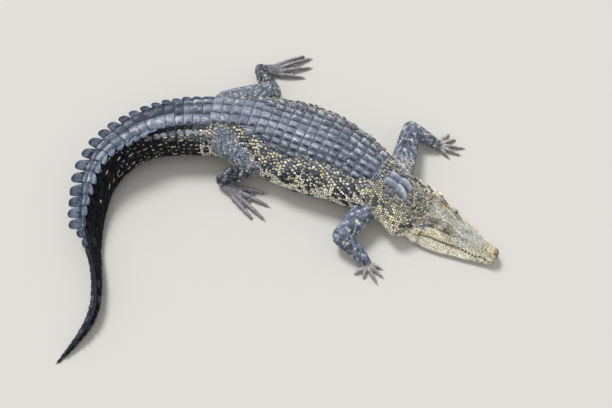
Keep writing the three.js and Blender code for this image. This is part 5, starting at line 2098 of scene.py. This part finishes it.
        rib = 1 + 0.16 * np.sin(run / pitch * 5 * TAU) * smoothstep(level, 0.1, 0.4) * fall(level, 0.7, 1)
        rise = mix(-6.0, high, level)
        points = root + along * run[..., None] + around * (width * rib)[..., None] + out * rise[..., None]
        return points, np.broadcast_to(level, run.shape)

    def build(self, hide: bpy.types.Object) -> list[Coat]:
        """The tail's plates as one coat, and the crest as a piece of its own."""
        tail = ["tail_1", "tail_2", "tail_3", "tail_4"]
        coat = Coat("tail_scales", Slot.TAIL, tail, [self.strip(), *self.flanks()])
        coat.build(hide)
        crest = Coat("tail_crest", Slot.TAIL, tail, [])
        points, faces, tints, patches = self.crest()
        mesh = mesh_of(crest.name, within(metres(points)), faces)
        paint(mesh, "tint", tints)
        crest.unwrap(mesh, patches)
        crest.piece = object_of(mesh)
        LOG.info("%s: %d points", crest.name, len(points))
        return [coat, crest]


@dataclass
class LegArmour:
    """The overlapping plates of one leg, and the small scales of its hand or foot."""

    limb: Limb
    seed: int
    pitch: float = 9.4
    plate: Plate = Plate(
        dome=1.5, keel=0.8, keel_wide=0.4, corner=0.75, tilt=1.5, rough=0.22, steps=6, sink=0.6,
    )
    pebble: Plate = Plate(dome=1.1, corner=0.8, rough=0.25, sink=0.4, steps=5)
    band: Plate = Plate(dome=1.3, corner=0.5, tilt=0.5, rough=0.15, sink=0.5, steps=5)

    def unwrap(self, share: Array, turn: Array, index: int) -> Array:
        """Places on the leg's unwrap: each bar has its own strip, along it one way and round it the other."""
        strips = 3 + len(self.limb.digits)
        along = UNWRAP_EDGE + UNWRAP_SPAN * np.clip(share, 0, 1)
        return np.stack([along, (index + 0.5 + 0.44 * turn) / strips], axis=-1)

    def crossings(
        self, bar: Capsule, pitch: float, before: float, after: float, fine: float = 1.0,
    ) -> tuple[Array, Array, Array, Array]:
        """Staggered places round a bar and its end caps: each row holds as many as its own girth takes.

        Args:
            bar: the bar.
            pitch: the spacing.
            before: how far the rows start before the first joint, in radii.
            after: how far they go past the second, in radii.
            fine: the share of the spacing that holds at the first joint.

        Returns:
            Runs from the first joint, arcs from the upright line, shares of half a turn, and spacings.
        """
        found, run, index = [], -before * bar.start_radius, 0
        while run < bar.length + after * bar.end_radius:
            around = float(bar.ring_radius(np.array(run)))
            step = pitch * (fine + (1 - fine) * float(smoothstep(np.array(run / bar.length), 0.05, 0.55)))
            count = max(3, round(TAU * around / step))
            turn = ((np.arange(count) + 0.5 * (index % 2)) / count * 2 + 1) % 2 - 1
            found.append(np.stack([np.full(count, run), turn * math.pi * around, turn, np.full(count, step)]))
            run, index = run + step * 0.88, index + 1
        return tuple(np.concatenate(found, axis=1))

    def bar(self, bar: Capsule, index: int, pitch: float, tone: Array, ends: tuple[float, float]) -> Scales:
        """Plates round one bar, grey-blue outside, smaller and cream on its under side.

        Args:
            bar: the bar.
            index: its strip on the unwrap.
            pitch: the plates' spacing.
            tone: their colour outside.
            ends: how far the plates reach round the two end caps, in radii.

        Returns:
            The plates.
        """
        run, arc, turn, pitch = self.crossings(bar, pitch, *ends, fine=0.62 if index == 0 else 1.0)
        under = smoothstep(np.abs(turn), 0.52, 0.72)
        chance = np.random.default_rng(self.seed + index)
        pick = chance.random((len(run), 1))
        spread = 0.6 if self.limb.build is FOOT and index == 0 else 1.1
        colour = tone * (1.0 - spread / 2 + spread * pick**1.4)
        colour = blend(colour, TONE.cream, under * 0.8)
        shoulder = fall(run / bar.length, 0.0, 0.45) * (index == 0)
        often = 0.06 + 0.2 * smoothstep(np.abs(turn), 0.3, 0.5)
        if self.limb.build is HAND:
            often = 0.05 + 0.5 * shoulder
        colour = blend(colour, TONE.cream * 0.85, (chance.random(len(run)) < often) * 0.75)
        size = 1.12 - 0.2 * under
        rim = TONE.tail_black if self.limb.build is FOOT else TONE.worn * 0.85
        gap = blend(rim, TONE.cream * 0.4, under * 0.4)
        return scale_family(
            bar.on_girth, self.plate, run, arc, pitch * 1.12 * size, pitch * size, colour,
            blend(colour * 1.3, TONE.worn, 0.1 + 0.5 * pick[:, 0] ** 2), gap,
            self.unwrap(run / bar.length, turn, index), seed=self.seed * 10 + index, wear=0.95, vary=0.26,
        )

    def toe(self, bar: Capsule, index: int) -> list[Scales]:
        """Narrow plates across the top of a toe, and small grains down its sides."""
        pitch = self.limb.build.digit * 0.66
        run = np.arange(1.0, bar.length + self.limb.build.digit * 0.5, pitch)
        radius = bar.radius(np.clip(run / bar.length, 0, 1))
        tone = self.foot_tone() * 0.95
        top = scale_family(
            bar.on_girth, self.band, run, run * 0, pitch * 1.08, radius * 2.1, tone, tone * 1.7, TONE.gap,
            self.unwrap(run / bar.length, run * 0, 3 + index), seed=self.seed * 10 + 40 + index,
            wear=0.9, vary=0.12,
        )
        sides = [
            scale_family(
                bar.on_girth, self.pebble, run + pitch / 2, radius * turn, pitch, radius * 0.8, tone,
                tone * 1.5, TONE.gap, self.unwrap(run / bar.length, run * 0 + turn / math.pi, 3 + index),
                seed=self.seed * 10 + 60 + index, wear=0.8, vary=0.2,
            ) for turn in (1.52, -1.52)
        ]
        return [top, *sides]

    def foot_tone(self) -> Array:
        """Hands are a warm grey, hind feet a cool one."""
        return TONE.foot * 1.15 if self.limb.build is HAND else blend(TONE.foot, TONE.slate, 0.4)

    def palm(self) -> Scales:
        """Pebbles over the palm or sole's upper side."""
        bar = self.limb.palm
        run, arc, turn, _ = self.crossings(bar, 5.2, 1.0, 0.9)
        kept = np.abs(turn) < 0.62
        run, arc, turn = picked(kept, run, arc, turn)
        tone = self.foot_tone() * 0.85
        return scale_family(
            bar.on_girth, self.pebble, run, arc, 5.3, 4.9, tone, tone * 1.5, TONE.gap,
            self.unwrap(run / bar.length, turn, 2), seed=self.seed * 10 + 9, wear=0.9, vary=0.25,
        )

    def webs(self) -> list[Scales]:
        """Fine scales on the webs between the hind toes."""
        made = []
        for sheet in webs_of(self.limb):
            out, across = staggered(np.arange(0.04, 0.96, 0.066), np.arange(0.1, 0.95, 0.115), 0.115)
            kept = out < 0.97 - 0.26 * np.sin(math.pi * across)
            out, across = picked(kept, out, across)
            tone = self.foot_tone() * 0.8
            made.append(scale_family(
                sheet.on_sheet, self.pebble, out * self.limb.build.web, across * Web.UNITS, 4.6, 4.4, tone,
                tone * 1.6, TONE.gap, self.unwrap(out, across * 0.9 - 0.45, 3 + sheet.index),
                seed=self.seed * 10 + 80 + sheet.index,
                hand=1 if self.limb.name.endswith("right") else -1, wear=0.9, vary=0.25,
            ))
            made[-1].long = made[-1].long * 0.9
        return made

    def build(self, hide: bpy.types.Object) -> list[Coat]:
        """The leg's coat and its hand or foot's."""
        limb = self.limb
        hind = limb.build is FOOT
        upper, lower = (TONE.slate, TONE.tail_blue * 0.3) if hind else (TONE.tail_blue * 1.2, TONE.tail_blue)
        bars = [
            self.bar(limb.upper, 0, self.pitch if hind else self.pitch * 1.2, upper, (0.75, 0.7)),
            self.bar(limb.lower, 1, self.pitch * 1.25, lower, (0.5, 0.5 if hind else 0.95)),
        ]
        toes = [family for k, bar in enumerate(limb.toes()) for family in self.toe(bar, k)]
        nodes, foot = limb.cad_nodes(), [self.palm(), *toes, *self.webs()]
        made = [
            Coat(f"leg_scales_{limb.name}", Slot.LIMB, nodes[:2], bars),
            Coat(f"foot_scales_{limb.name}", Slot.FOOT, nodes[2:], foot, 4.0),
        ]
        for coat in made:
            coat.build(hide)
        return made


@dataclass
class Face:
    """The head's smallest scales, hardly raised, coloured as the skin under them."""

    pitch: float = 4.5
    last: float = 272
    grain: Plate = Plate(dome=0.42, corner=0.9, rough=0.4, sink=0.25, steps=5, shoulder=0.35)
    jowl: Plate = Plate(dome=1.2, corner=0.9, rough=0.25, sink=0.4, steps=5)
    table: GirthTable = field(init=False)

    def __post_init__(self) -> None:
        """Tabulate the girth of the head's rings."""
        stations = np.linspace(3, 300, 120)
        turn = np.linspace(-0.5, 0.5, GirthTable.TURNS)
        off, high = HEAD_SHAPE.ring(stations[:, None], turn[None] + 0 * stations[:, None])
        self.table = GirthTable(stations, turn, off, high)

    def turn_at(self, at: Array, arc: Array) -> Array:
        """The share of a turn at a length round from the crown."""
        return self.table.turn_at(at, arc / self.table.side(at, np.array(1)))

    def on_girth(self, at: Array, arc: Array) -> Array:
        """Points of the skin at distances from the snout and lengths round from the crown."""
        return BODY_SHAPE.point(at, self.turn_at(at, arc) * TAU)

    def families(self) -> list[Scales]:
        """Grains over the whole head but the mouth line and the eyes, larger towards the jowls."""
        rows = np.arange(9, self.last, self.pitch * 0.9)
        columns = np.arange(-32, 33) * self.pitch
        at, arc = staggered(rows, columns, self.pitch)
        turn = self.turn_at(at, arc)
        reach = self.table.side(at, np.array(1))
        off, high = HEAD_SHAPE.ring(at, turn)
        eye = np.hypot(at - HEAD_SHAPE.eye_at, np.abs(off) - HEAD_SHAPE.eye_off - 3)
        from_lip = (np.abs(turn) - HEAD_SHAPE.lip) * 2 * reach
        kept = (np.abs(arc) < reach * 0.9) & (np.abs(from_lip) > 3.2) & (eye > 19)
        at, arc, turn, off, high, from_lip = picked(kept, at, arc, turn, off, high, from_lip)
        points = on_section(at, off + high * HEAD_SHAPE.lean, high)
        tone = HeadPaint(at, off, high, points).colour()
        chance = np.random.default_rng(53)
        pick = chance.random((len(at), 1))
        rear = smoothstep(at + jitter(chance, 10, at), 238, 264) * (from_lip < 0)
        rear = rear * (1 - HEAD_SHAPE.table_share(at, off)) * (1 - ear_share(at, np.abs(off)))
        grey = chosen(pick, (0.4, TONE.neck), (0.68, TONE.gap), (1, TONE.cream * 0.9))
        tone = blend(tone, grey, rear)
        tone = tone * (1 - 0.42 * (chance.random((len(at), 1)) < 0.10))
        back = smoothstep(at, 205, 262) * smoothstep(np.abs(turn), 0.2, 0.3)
        large = back > 0.5
        spot = np.stack([UNWRAP_EDGE + UNWRAP_SPAN * at / LENGTH, 0.5 + UNWRAP_SPAN * turn], axis=-1)
        crack = np.where(from_lip > 0, 0.22, 0.54)[:, None]
        made = []
        for some, plate, grow, seed in ((~large, self.grain, 0.96, 51), (large, self.jowl, 1.0, 52)):
            made.append(scale_family(
                self.on_girth, plate, at[some], arc[some], self.pitch * grow, self.pitch * grow * 0.96,
                tone[some], tone[some] * 1.32, tone[some] * crack[some], spot[some], seed=seed, hand=-1,
                wear=0.8, vary=0.24,
            ))
        return made

    def build(self, hide: bpy.types.Object) -> list[Coat]:
        """The head's coat."""
        coat = Coat("face_scales", Slot.HEAD, ["head", "lower_jaw"], self.families(), 4.0)
        coat.build(hide)
        return [coat]


# ---------------------------------------------------------------- hide colours

def limb_colour(points: Array, normals: Array) -> Array:
    """The legs' skin: grey-blue outside, yellow below and on the inner side, brown-grey on hands and feet."""
    mottle = noise(points, 16, 61, 2)
    outer = blend(TONE.gap, TONE.slate, mottle * 0.6)
    under = smoothstep(-normals[:, 2] + (mottle - 0.5) * 0.4, 0.0, 0.45)
    colour = blend(outer, TONE.yellow * 0.9, under)
    foot = np.zeros(len(points))
    for limb in LIMBS:
        turned = math.radians(limb.heading)
        past = (points[:, :2] - limb.ankle[:2]) @ np.array([math.cos(turned), math.sin(turned)])
        near = np.linalg.norm(points - limb.ankle, axis=1) < 210
        foot = np.maximum(foot, smoothstep(past, -22.0, 4.0) * near * (points[:, 2] < 60))
    skin = blend(TONE.foot, TONE.gap, smoothstep(mottle, 0.45, 0.75) * 0.5)
    return blend(colour, skin, foot)


def dress_hide(hide: bpy.types.Object) -> None:
    """Paint the hide by where each point lies: head and body by the body's coordinates, then the legs."""
    mesh = hide.data
    points = coordinates_of(mesh) / MM - TO_MODEL
    normals = np.empty(len(mesh.vertices) * 3, np.float32)
    mesh.vertex_normals.foreach_get("vector", normals)
    normals = normals.reshape(-1, 3).astype(float)
    at, angle, out = BODY_SHAPE.coordinates(points)
    centre, side = MIDLINE(at)
    off = ((points[:, :2] - centre) * side).sum(axis=1) - points[:, 2] * HEAD_SHAPE.lean
    head = HeadPaint(at, off, points[:, 2], points).colour()
    colour = blend(head, body_colour(at, angle, points), smoothstep(at, 262, 296))
    leg = smoothstep(out, 1.03, 1.14) * smoothstep(at, 430, 460)
    paint(mesh, "tint", blend(colour, limb_colour(points, normals), leg))


# ---------------------------------------------------------------- eyes, claws and teeth

@dataclass
class Eyes:
    """Two wet balls under the lids, each with its own looking direction kept as an attribute."""

    along: int = 40
    around: int = 56
    gaze: tuple[float, float, float] = (-0.42, 0.80, 0.42)  # towards the tail, sideways and up

    def build(self) -> list[bpy.types.Object]:
        """Each ball: rings about the looking axis by sine and cosine, poles at its front and back."""
        made = []
        for side, node in ((1, "eye_left"), (-1, "eye_right")):
            low, high = (np.array(corner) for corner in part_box(node))
            centre = (low + high) / 2
            _, across = MIDLINE(np.array(HEAD_SHAPE.eye_at))
            across = np.array([*across, 0.0])
            back = np.cross([0.0, 0.0, 1.0], across)
            back = back * np.sign(back @ self.tailward())
            look = unit(back * self.gaze[0] + across * side * self.gaze[1] + np.array([0, 0, self.gaze[2]]))
            level = unit(np.cross([0.0, 0.0, 1.0], look))
            upright = np.cross(look, level)
            polar = np.linspace(0, math.pi, self.along + 2)[1:-1, None]
            turn = np.arange(self.around)[None] / self.around * TAU
            local = np.stack([
                np.sin(polar) * np.cos(turn), np.sin(polar) * np.sin(turn), np.cos(polar) + 0 * turn,
            ], axis=-1)
            radius = HEAD_SHAPE.eye_radius * MM * 0.985
            axes = np.stack([level, upright, look])
            poles = (centre + look * radius, centre - look * radius)
            points, faces = loft(centre + local @ axes * radius, poles)
            mesh = mesh_of(node.replace("eye", "eyeball"), points, faces)
            store(mesh, "look", ((points - centre) / radius) @ axes.T)
            ball = object_of(mesh)
            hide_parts(node)
            made.append(ball)
        return made

    def tailward(self) -> Array:
        """The level direction from the snout to the tail at the eyes."""
        ends, _ = MIDLINE(np.array([HEAD_SHAPE.eye_at - 5.0, HEAD_SHAPE.eye_at + 5.0]))
        return np.array([*unit(ends[1] - ends[0]), 0.0])


@dataclass
class Claws:
    """The curved claws of the inner three digits: round horns that bend down to the floor."""

    rings: int = 22
    around: int = 16

    def build(self) -> list[bpy.types.Object]:
        """Each claw: rings along a falling parabola, their radius by a power of the share left to the tip."""
        made = []
        for limb in LIMBS:
            thick = limb.build.digit
            for index, (root, heading) in enumerate(limb.claw_roots()):
                t = np.linspace(-0.12, 0.985, self.rings)[:, None]
                turn = np.arange(self.around)[None] / self.around * TAU
                run = t * (limb.build.claw + thick * 0.7)
                radius = thick * 0.54 * np.clip(1 - np.maximum(t, 0) ** 1.7, 0.02, 1) ** 0.8
                across = np.sin(turn) * radius * 0.86
                rise = root[2] + 1.2 - 4.2 * t * t + np.cos(turn) * radius
                turned = math.radians(heading)
                ahead = np.array([math.cos(turned), math.sin(turned)])
                aside = np.array([-math.sin(turned), math.cos(turned)])
                level = np.asarray(root[:2]) + run[..., None] * ahead + across[..., None] * aside
                points = np.concatenate([level, rise[..., None]], axis=-1)
                shape, faces = loft(points, (points[0].mean(axis=0), points[-1].mean(axis=0)))
                node = f"claw_{limb.name}_{index + 1}"
                mesh = mesh_of(f"horn_{limb.name}_{index + 1}", metres(shape), faces)
                share = np.concatenate([np.repeat(np.clip(t.ravel(), 0, 1), self.around), [0.0, 1.0]])
                store(mesh, "share", share)
                horn = object_of(mesh)
                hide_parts(node)
                made.append(horn)
        return made


@dataclass
class Teeth:
    """The teeth that show with the mouth shut: the upper row, and the great fourth tooth of the lower jaw."""

    upper: tuple[tuple[float, float, float], ...] = (
        (10, 9, 2.4), (24, 10, 2.8), (56, 9, 2.8), (67, 11, 3.0), (78, 13, 3.5), (90, 11, 3.2), (103, 9, 2.8),
        (117, 9, 2.8), (132, 7, 2.4),
    )
    fourth: tuple[float, float, float] = (41, 15, 3.2)
    root: float = 3.0
    rings: int = 12
    around: int = 14

    def tooth(self, form: tuple[float, float, float], side: int, down: bool) -> tuple[Array, list[Array]]:
        """One tooth at the lip: a cone whose radius falls by a power of the share left, leaning over the jaw.

        Args:
            form: its distance from the snout, its length and its radius.
            side: 1 for the left side, -1 for the right one.
            down: whether it is an upper tooth.

        Returns:
            Points in the drawing frame, and faces.
        """
        at, length, radius = form
        place = np.array(at)
        lip, half = HEAD("upper", place), HEAD("lower", place)
        mouth, chin = HEAD("mouth", place), HEAD("chin", place)
        flare = np.clip((half - lip) / (mouth - chin), 0, 0.9) if down else 0.0
        share = np.linspace(0, 1, self.rings)[:, None]
        past = share * (length + self.root) - self.root
        turn = np.arange(self.around)[None] / self.around * TAU
        wide = radius * 0.86 * np.clip(1 - share**1.6, 0.03, 1) ** 0.8
        off = lip - 0.8 + np.cos(turn) * wide + np.maximum(past, 0) * flare
        high = mouth + past * (-1 if down else 1) + 0 * turn
        points = HEAD_SHAPE.place(at + np.sin(turn) * wide, side * off, high)
        return loft(points, (points[0].mean(axis=0), points[-1].mean(axis=0)))

    def build(self) -> list[bpy.types.Object]:
        """Both rows, each as one mesh."""
        rows = {
            "teeth_upper": ("head", [
                self.tooth(form, side, True) for form in self.upper for side in (1, -1)
            ]),
            "teeth_fourth": ("lower_jaw", [self.tooth(self.fourth, side, False) for side in (1, -1)]),
        }
        made = []
        for name, (node, parts) in rows.items():
            points, faces = joined(parts)
            row = object_of(mesh_of(name, metres(points), faces))
            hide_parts(node)
            made.append(row)
        return made


# ---------------------------------------------------------------- shader expressions and finishes

class Cell(Enum):
    """What a cell pattern gives at each place."""

    EDGE = "DISTANCE_TO_EDGE"
    MIDDLE = "F1"


class Signal:
    """A number that changes over a surface: a shader socket on which sums can be written."""

    def __init__(self, graph: "Graph", socket: bpy.types.NodeSocket) -> None:
        """Hold a socket of a graph."""
        self.graph = graph
        self.socket = socket

    def __add__(self, other: "Signal | float") -> "Signal":
        """The sum."""
        return self.graph.math("ADD", self, other)

    __radd__ = __add__

    def __sub__(self, other: "Signal | float") -> "Signal":
        """The difference."""
        return self.graph.math("SUBTRACT", self, other)

    def __rsub__(self, other: float) -> "Signal":
        """The difference from a number."""
        return self.graph.math("SUBTRACT", other, self)

    def __mul__(self, other: "Signal | float") -> "Signal":
        """The product."""
        return self.graph.math("MULTIPLY", self, other)

    __rmul__ = __mul__

    def __pow__(self, other: float) -> "Signal":
        """The power."""
        return self.graph.math("POWER", self, other)

    def between(self, low: float, high: float) -> "Signal":
        """0 below one level, 1 above the other, and smooth between them."""
        found = self.graph.node(
            "ShaderNodeMapRange", {"interpolation_type": "SMOOTHSTEP"},
            {"Value": self, "From Min": low, "From Max": high},
        )
        return Signal(self.graph, found.outputs["Result"])


class Graph:
    """One material's nodes."""

    def __init__(self, name: str) -> None:
        """Start a material with a shader of its own."""
        self.material = bpy.data.materials.new(name)
        self.material.use_nodes = True
        self.tree = self.material.node_tree
        self.shader = self.tree.nodes["Principled BSDF"]

    def put(self, socket: bpy.types.NodeSocket, value: object) -> None:
        """Link a signal to a socket, or set the socket's own value."""
        if isinstance(value, Signal):
            value = value.socket
        if isinstance(value, bpy.types.NodeSocket):
            self.tree.links.new(value, socket)
        elif hasattr(value, "__len__") and len(value) == 3 and len(getattr(socket, "default_value", ())) == 4:
            socket.default_value = (*(float(part) for part in value), 1.0)
        else:
            socket.default_value = value

    def node(self, kind: str, settings: dict[str, object], inputs: dict[str | int, object]) -> bpy.types.Node:
        """Add a node.

        Args:
            kind: its type.
            settings: its own properties, set first.
            inputs: values or links for its sockets, by name or number.

        Returns:
            The node.
        """
        made = self.tree.nodes.new(kind)
        for key, value in settings.items():
            setattr(made, key, value)
        for key, value in inputs.items():
            self.put(made.inputs[key], value)
        return made

    def math(self, operation: str, a: "Signal | float", b: "Signal | float") -> Signal:
        """One Math operation on two numbers."""
        return Signal(self, self.node("ShaderNodeMath", {"operation": operation}, {0: a, 1: b}).outputs[0])

    def place(self) -> bpy.types.NodeSocket:
        """The surface's own coordinates in metres."""
        return self.node("ShaderNodeTexCoord", {}, {}).outputs["Object"]

    def attribute(self, name: str) -> bpy.types.Node:
        """One of the mesh's own attributes."""
        return self.node("ShaderNodeAttribute", {"attribute_name": name}, {})

    def cloud(self, size: float, detail: float = 3.0, rough: float = 0.55) -> Signal:
        """Smooth chance values from 0 to 1, whose lumps are about `size` millimetres across."""
        made = self.node(
            "ShaderNodeTexNoise", {},
            {"Vector": self.place(), "Scale": 1 / (size * MM), "Detail": detail, "Roughness": rough},
        )
        return Signal(self, made.outputs["Fac"])

    def cells(self, size: float, kind: Cell, chance: float = 1.0) -> Signal:
        """Distances in a pattern of cells about `size` millimetres across."""
        made = self.node(
            "ShaderNodeTexVoronoi", {"feature": kind.value},
            {"Vector": self.place(), "Scale": 1 / (size * MM), "Randomness": chance},
        )
        return Signal(self, made.outputs["Distance"])

    def mixed(self, share: "Signal | float", a: object, b: object, way: str = "MIX") -> bpy.types.NodeSocket:
        """One colour mixed into another."""
        made = self.node("ShaderNodeMix", {"data_type": "RGBA", "blend_type": way}, {})
        self.put(made.inputs[0], share)
        self.put(made.inputs[6], a)
        self.put(made.inputs[7], b)
        return made.outputs[2]

    def bump(self, height: Signal, distance: float, strength: float = 1.0) -> None:
        """Raise the surface by a signal, `distance` millimetres at 1."""
        made = self.node(
            "ShaderNodeBump", {}, {"Height": height, "Distance": distance * MM, "Strength": strength},
        )
        self.put(self.shader.inputs["Normal"], made.outputs["Normal"])

    def finish(self, **sockets: object) -> bpy.types.Material:
        """Feed the shader's sockets, whose names are written with _ for a space.

        Args:
            sockets: values or links by socket name.

        Returns:
            The material.
        """
        for key, value in sockets.items():
            self.put(self.shader.inputs[key.replace("_", " ")], value)
        return self.material


@dataclass(frozen=True)
class HideFinish:
    """Bare skin: painted tint, fine cracks between grains, dull in the folds."""

    name: str = "hide"
    grain: float = 2.4
    depth: float = 0.5

    def material(self) -> bpy.types.Material:
        """Tint from the mesh, darkened in the cracks between cells."""
        graph = Graph(self.name)
        tint = graph.attribute("tint").outputs["Color"]
        crack = 1 - graph.cells(self.grain, Cell.EDGE).between(0.0, 0.12)
        fine = graph.cloud(1.2)
        shade = graph.mixed(crack * 0.42, tint, TONE.brown)
        shade = graph.mixed(fine.between(0.3, 0.7) * 0.22, shade, (0.85, 0.85, 0.82), "SOFT_LIGHT")
        graph.bump(fine * 0.35 - crack * 0.8, self.depth)
        return graph.finish(
            Base_Color=shade, Roughness=0.5 + 0.2 * crack + 0.12 * fine, IOR=1.42, Specular_IOR_Level=0.35,
        )


@dataclass(frozen=True)
class ScaleFinish:
    """Horny scales: painted tint, faint mottling and pits, a soft sheen on the rubbed tops."""

    name: str
    pit: float = 1.6
    depth: float = 0.25
    dull: float = 0.46
    sheen: float = 0.3

    def material(self) -> bpy.types.Material:
        """Tint from the mesh with pits and a dusty bloom."""
        graph = Graph(self.name)
        tint = graph.attribute("tint").outputs["Color"]
        fine = graph.cloud(self.pit, 4.0, 0.6)
        broad = graph.cloud(16.0, 2.0)
        pits = 1 - graph.cells(self.pit * 1.4, Cell.MIDDLE).between(0.1, 0.42)
        shade = graph.mixed(fine.between(0.35, 0.75) * 0.35, tint, (0.78, 0.78, 0.76), "SOFT_LIGHT")
        shade = graph.mixed(pits * 0.28, shade, TONE.gap)
        graph.bump(fine * 0.7 - pits * 0.5, self.depth)
        rough = self.dull + 0.2 * fine + 0.14 * broad
        return graph.finish(Base_Color=shade, Roughness=rough, IOR=1.45, Specular_IOR_Level=self.sheen)


@dataclass(frozen=True)
class EyeFinish:
    """A wet eye: olive-gold iris with fine rays, an upright slit, a dark rim."""

    name: str = "eye_gloss"
    iris: float = 0.62

    def material(self) -> bpy.types.Material:
        """The looking direction's own coordinates: across for the slit, outwards for the iris."""
        graph = Graph(self.name)
        look = graph.attribute("look").outputs["Vector"]
        parts = graph.node("ShaderNodeSeparateXYZ", {}, {0: look}).outputs
        across, upright, ahead = (Signal(graph, part) for part in parts)
        out = (across * across + upright * upright) ** 0.5
        slit = across * across * 90 + upright * upright * 2.6
        pupil = 1 - slit.between(0.75, 1.1)
        rim = out.between(self.iris - 0.08, self.iris)
        rays = graph.cloud(1.1, 4.0, 0.7)
        iris = graph.mixed(rays.between(0.35, 0.65), linear(126, 108, 48), linear(176, 160, 88))
        shade = graph.mixed(rim, iris, linear(46, 40, 30))
        shade = graph.mixed(pupil * ahead.between(0.0, 0.2), shade, (0.004, 0.004, 0.004))
        return graph.finish(Base_Color=shade, Roughness=0.08, IOR=1.4, Coat_Weight=0.6, Coat_Roughness=0.03)


@dataclass(frozen=True)
class HornFinish:
    """Claw horn: dark at the root, worn brown to the tip, with fine mottling."""

    name: str = "claw_horn"

    def material(self) -> bpy.types.Material:
        """The share from root to tip picks between two browns, broken up by fine noise."""
        graph = Graph(self.name)
        share = Signal(graph, graph.attribute("share").outputs["Fac"])
        fine = graph.cloud(1.4, 4.0)
        worn = (share + (fine - 0.5) * 0.5).between(0.1, 0.8)
        shade = graph.mixed(worn, linear(112, 104, 94), linear(206, 200, 184))
        graph.bump(fine, 0.2)
        return graph.finish(Base_Color=shade, Roughness=0.34 + 0.2 * fine, IOR=1.5)


@dataclass(frozen=True)
class ToothFinish:
    """Ivory with brown stains."""

    name: str = "tooth_ivory"

    def material(self) -> bpy.types.Material:
        """Ivory mottled with stain."""
        graph = Graph(self.name)
        stain = graph.cloud(3.0, 3.0).between(0.52, 0.78)
        shade = graph.mixed(stain * 0.5, linear(222, 216, 196), linear(142, 116, 74))
        graph.bump(graph.cloud(0.8), 0.08)
        return graph.finish(Base_Color=shade, Roughness=0.28 + 0.2 * stain, IOR=1.54)


@dataclass(frozen=True)
class FloorFinish:
    """A plain pale floor."""

    name: str = "pale_floor"

    def material(self) -> bpy.types.Material:
        """An even pale grey with the faintest unevenness."""
        graph = Graph(self.name)
        shade = graph.mixed(graph.cloud(90.0, 2.0) * 0.2, linear(210, 208, 203), linear(202, 200, 195))
        return graph.finish(Base_Color=shade, Roughness=0.85)


# ---------------------------------------------------------------- the studio

@dataclass
class Studio:
    """Floor, soft lamps and the camera."""

    elevation: float = 66
    distance: float = 2.55
    field_of_view: float = 45
    half_floor: float = 9
    sky: float = 0.56
    sun: float = 1.5
    sun_spread: float = 18
    sun_from: tuple[float, float, float] = (-0.4, 0.6, 1.0)

    def camera(self) -> None:
        """The camera looks down along +Y at the drawing frame's middle."""
        data = bpy.data.cameras.new("camera")
        data.sensor_width = 36
        data.lens = 18 / math.tan(math.radians(self.field_of_view / 2))
        data.clip_end = 100
        thing = bpy.data.objects.new("camera", data)
        bpy.context.scene.collection.objects.link(thing)
        high = math.radians(self.elevation)
        target = metres(np.zeros(3))
        thing.location = target + self.distance * np.array([0, -math.cos(high), math.sin(high)])
        thing.rotation_euler = (math.pi / 2 - high, 0, 0)
        bpy.context.scene.camera = thing

    def lamps(self) -> None:
        """An even sky, and one wide sun for the modelling of the scales."""
        world = bpy.data.worlds.new("studio")
        world.use_nodes = True
        world.node_tree.nodes["Background"].inputs["Color"].default_value = (1, 1, 1, 1)
        world.node_tree.nodes["Background"].inputs["Strength"].default_value = self.sky
        bpy.context.scene.world = world
        data = bpy.data.lights.new("sun", "SUN")
        data.energy = self.sun * math.pi / 2
        data.angle = math.radians(self.sun_spread)
        thing = bpy.data.objects.new("sun", data)
        bpy.context.scene.collection.objects.link(thing)
        x, y, z = self.sun_from
        thing.rotation_euler = (math.atan2(math.hypot(x, y), z), 0, math.atan2(x, -y))

    def floor(self) -> None:
        """A wide level sheet at the model's foot."""
        half = self.half_floor
        corners = np.array([[-half, -half, 0], [half, -half, 0], [half, half, 0], [-half, half, 0]], float)
        thing = object_of(mesh_of("floor", corners, [np.array([[0, 1, 2, 3]])]))
        thing.data.materials.append(FloorFinish().material())

    def build(self) -> None:
        """Everything round the model."""
        self.camera()
        self.lamps()
        self.floor()
        bpy.context.scene.view_settings.view_transform = "Standard"


# ---------------------------------------------------------------- assembly

FLESH = [
    "head", "lower_jaw", "neck", "trunk", "tail_1", "tail_2", "tail_3", "tail_4",
    *[node for limb in LIMBS for node in limb.cad_nodes()],
]


def ride(piece: bpy.types.Object, material: bpy.types.Material) -> None:
    """Put a material on a piece, and let it stand with the rest of the model."""
    piece.data.materials.clear()
    piece.data.materials.append(material)
    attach(piece, "root")


def build_scales(hide: bpy.types.Object) -> None:
    """Every coat piece, each with the finish of its part of the body."""
    horn = ScaleFinish("scale_horn").material()
    fine = ScaleFinish("scale_fine", pit=1.0, depth=0.14, dull=0.5).material()
    black = ScaleFinish("scale_black", sheen=0.12).material()
    finishes = {Slot.FOOT: fine, Slot.HEAD: fine, Slot.TAIL: black}
    sets = [TrunkArmour(), NeckArmour(), TailArmour(), Face()]
    sets += [LegArmour(limb, seed=3 + index) for index, limb in enumerate(LIMBS)]
    for armour in sets:
        for coat in armour.build(hide):
            ride(coat.piece, finishes.get(coat.slot, horn))
            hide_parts(*coat.nodes)
            LOG.info("laid %s", coat.name)


def main() -> None:
    """Build the model in order, then the studio."""
    logging.basicConfig(level=logging.INFO, format="%(message)s")
    skin = Skin()
    skin.build()
    dress_hide(skin.piece)
    ride(skin.piece, HideFinish().material())
    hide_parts(*FLESH)
    build_scales(skin.piece)
    for maker, finish in ((Eyes(), EyeFinish()), (Claws(), HornFinish()), (Teeth(), ToothFinish())):
        material = finish.material()
        for piece in maker.build():
            ride(piece, material)
            LOG.info("set %s", piece.name)
    Studio().build()


if __name__ == "__main__":
    main()
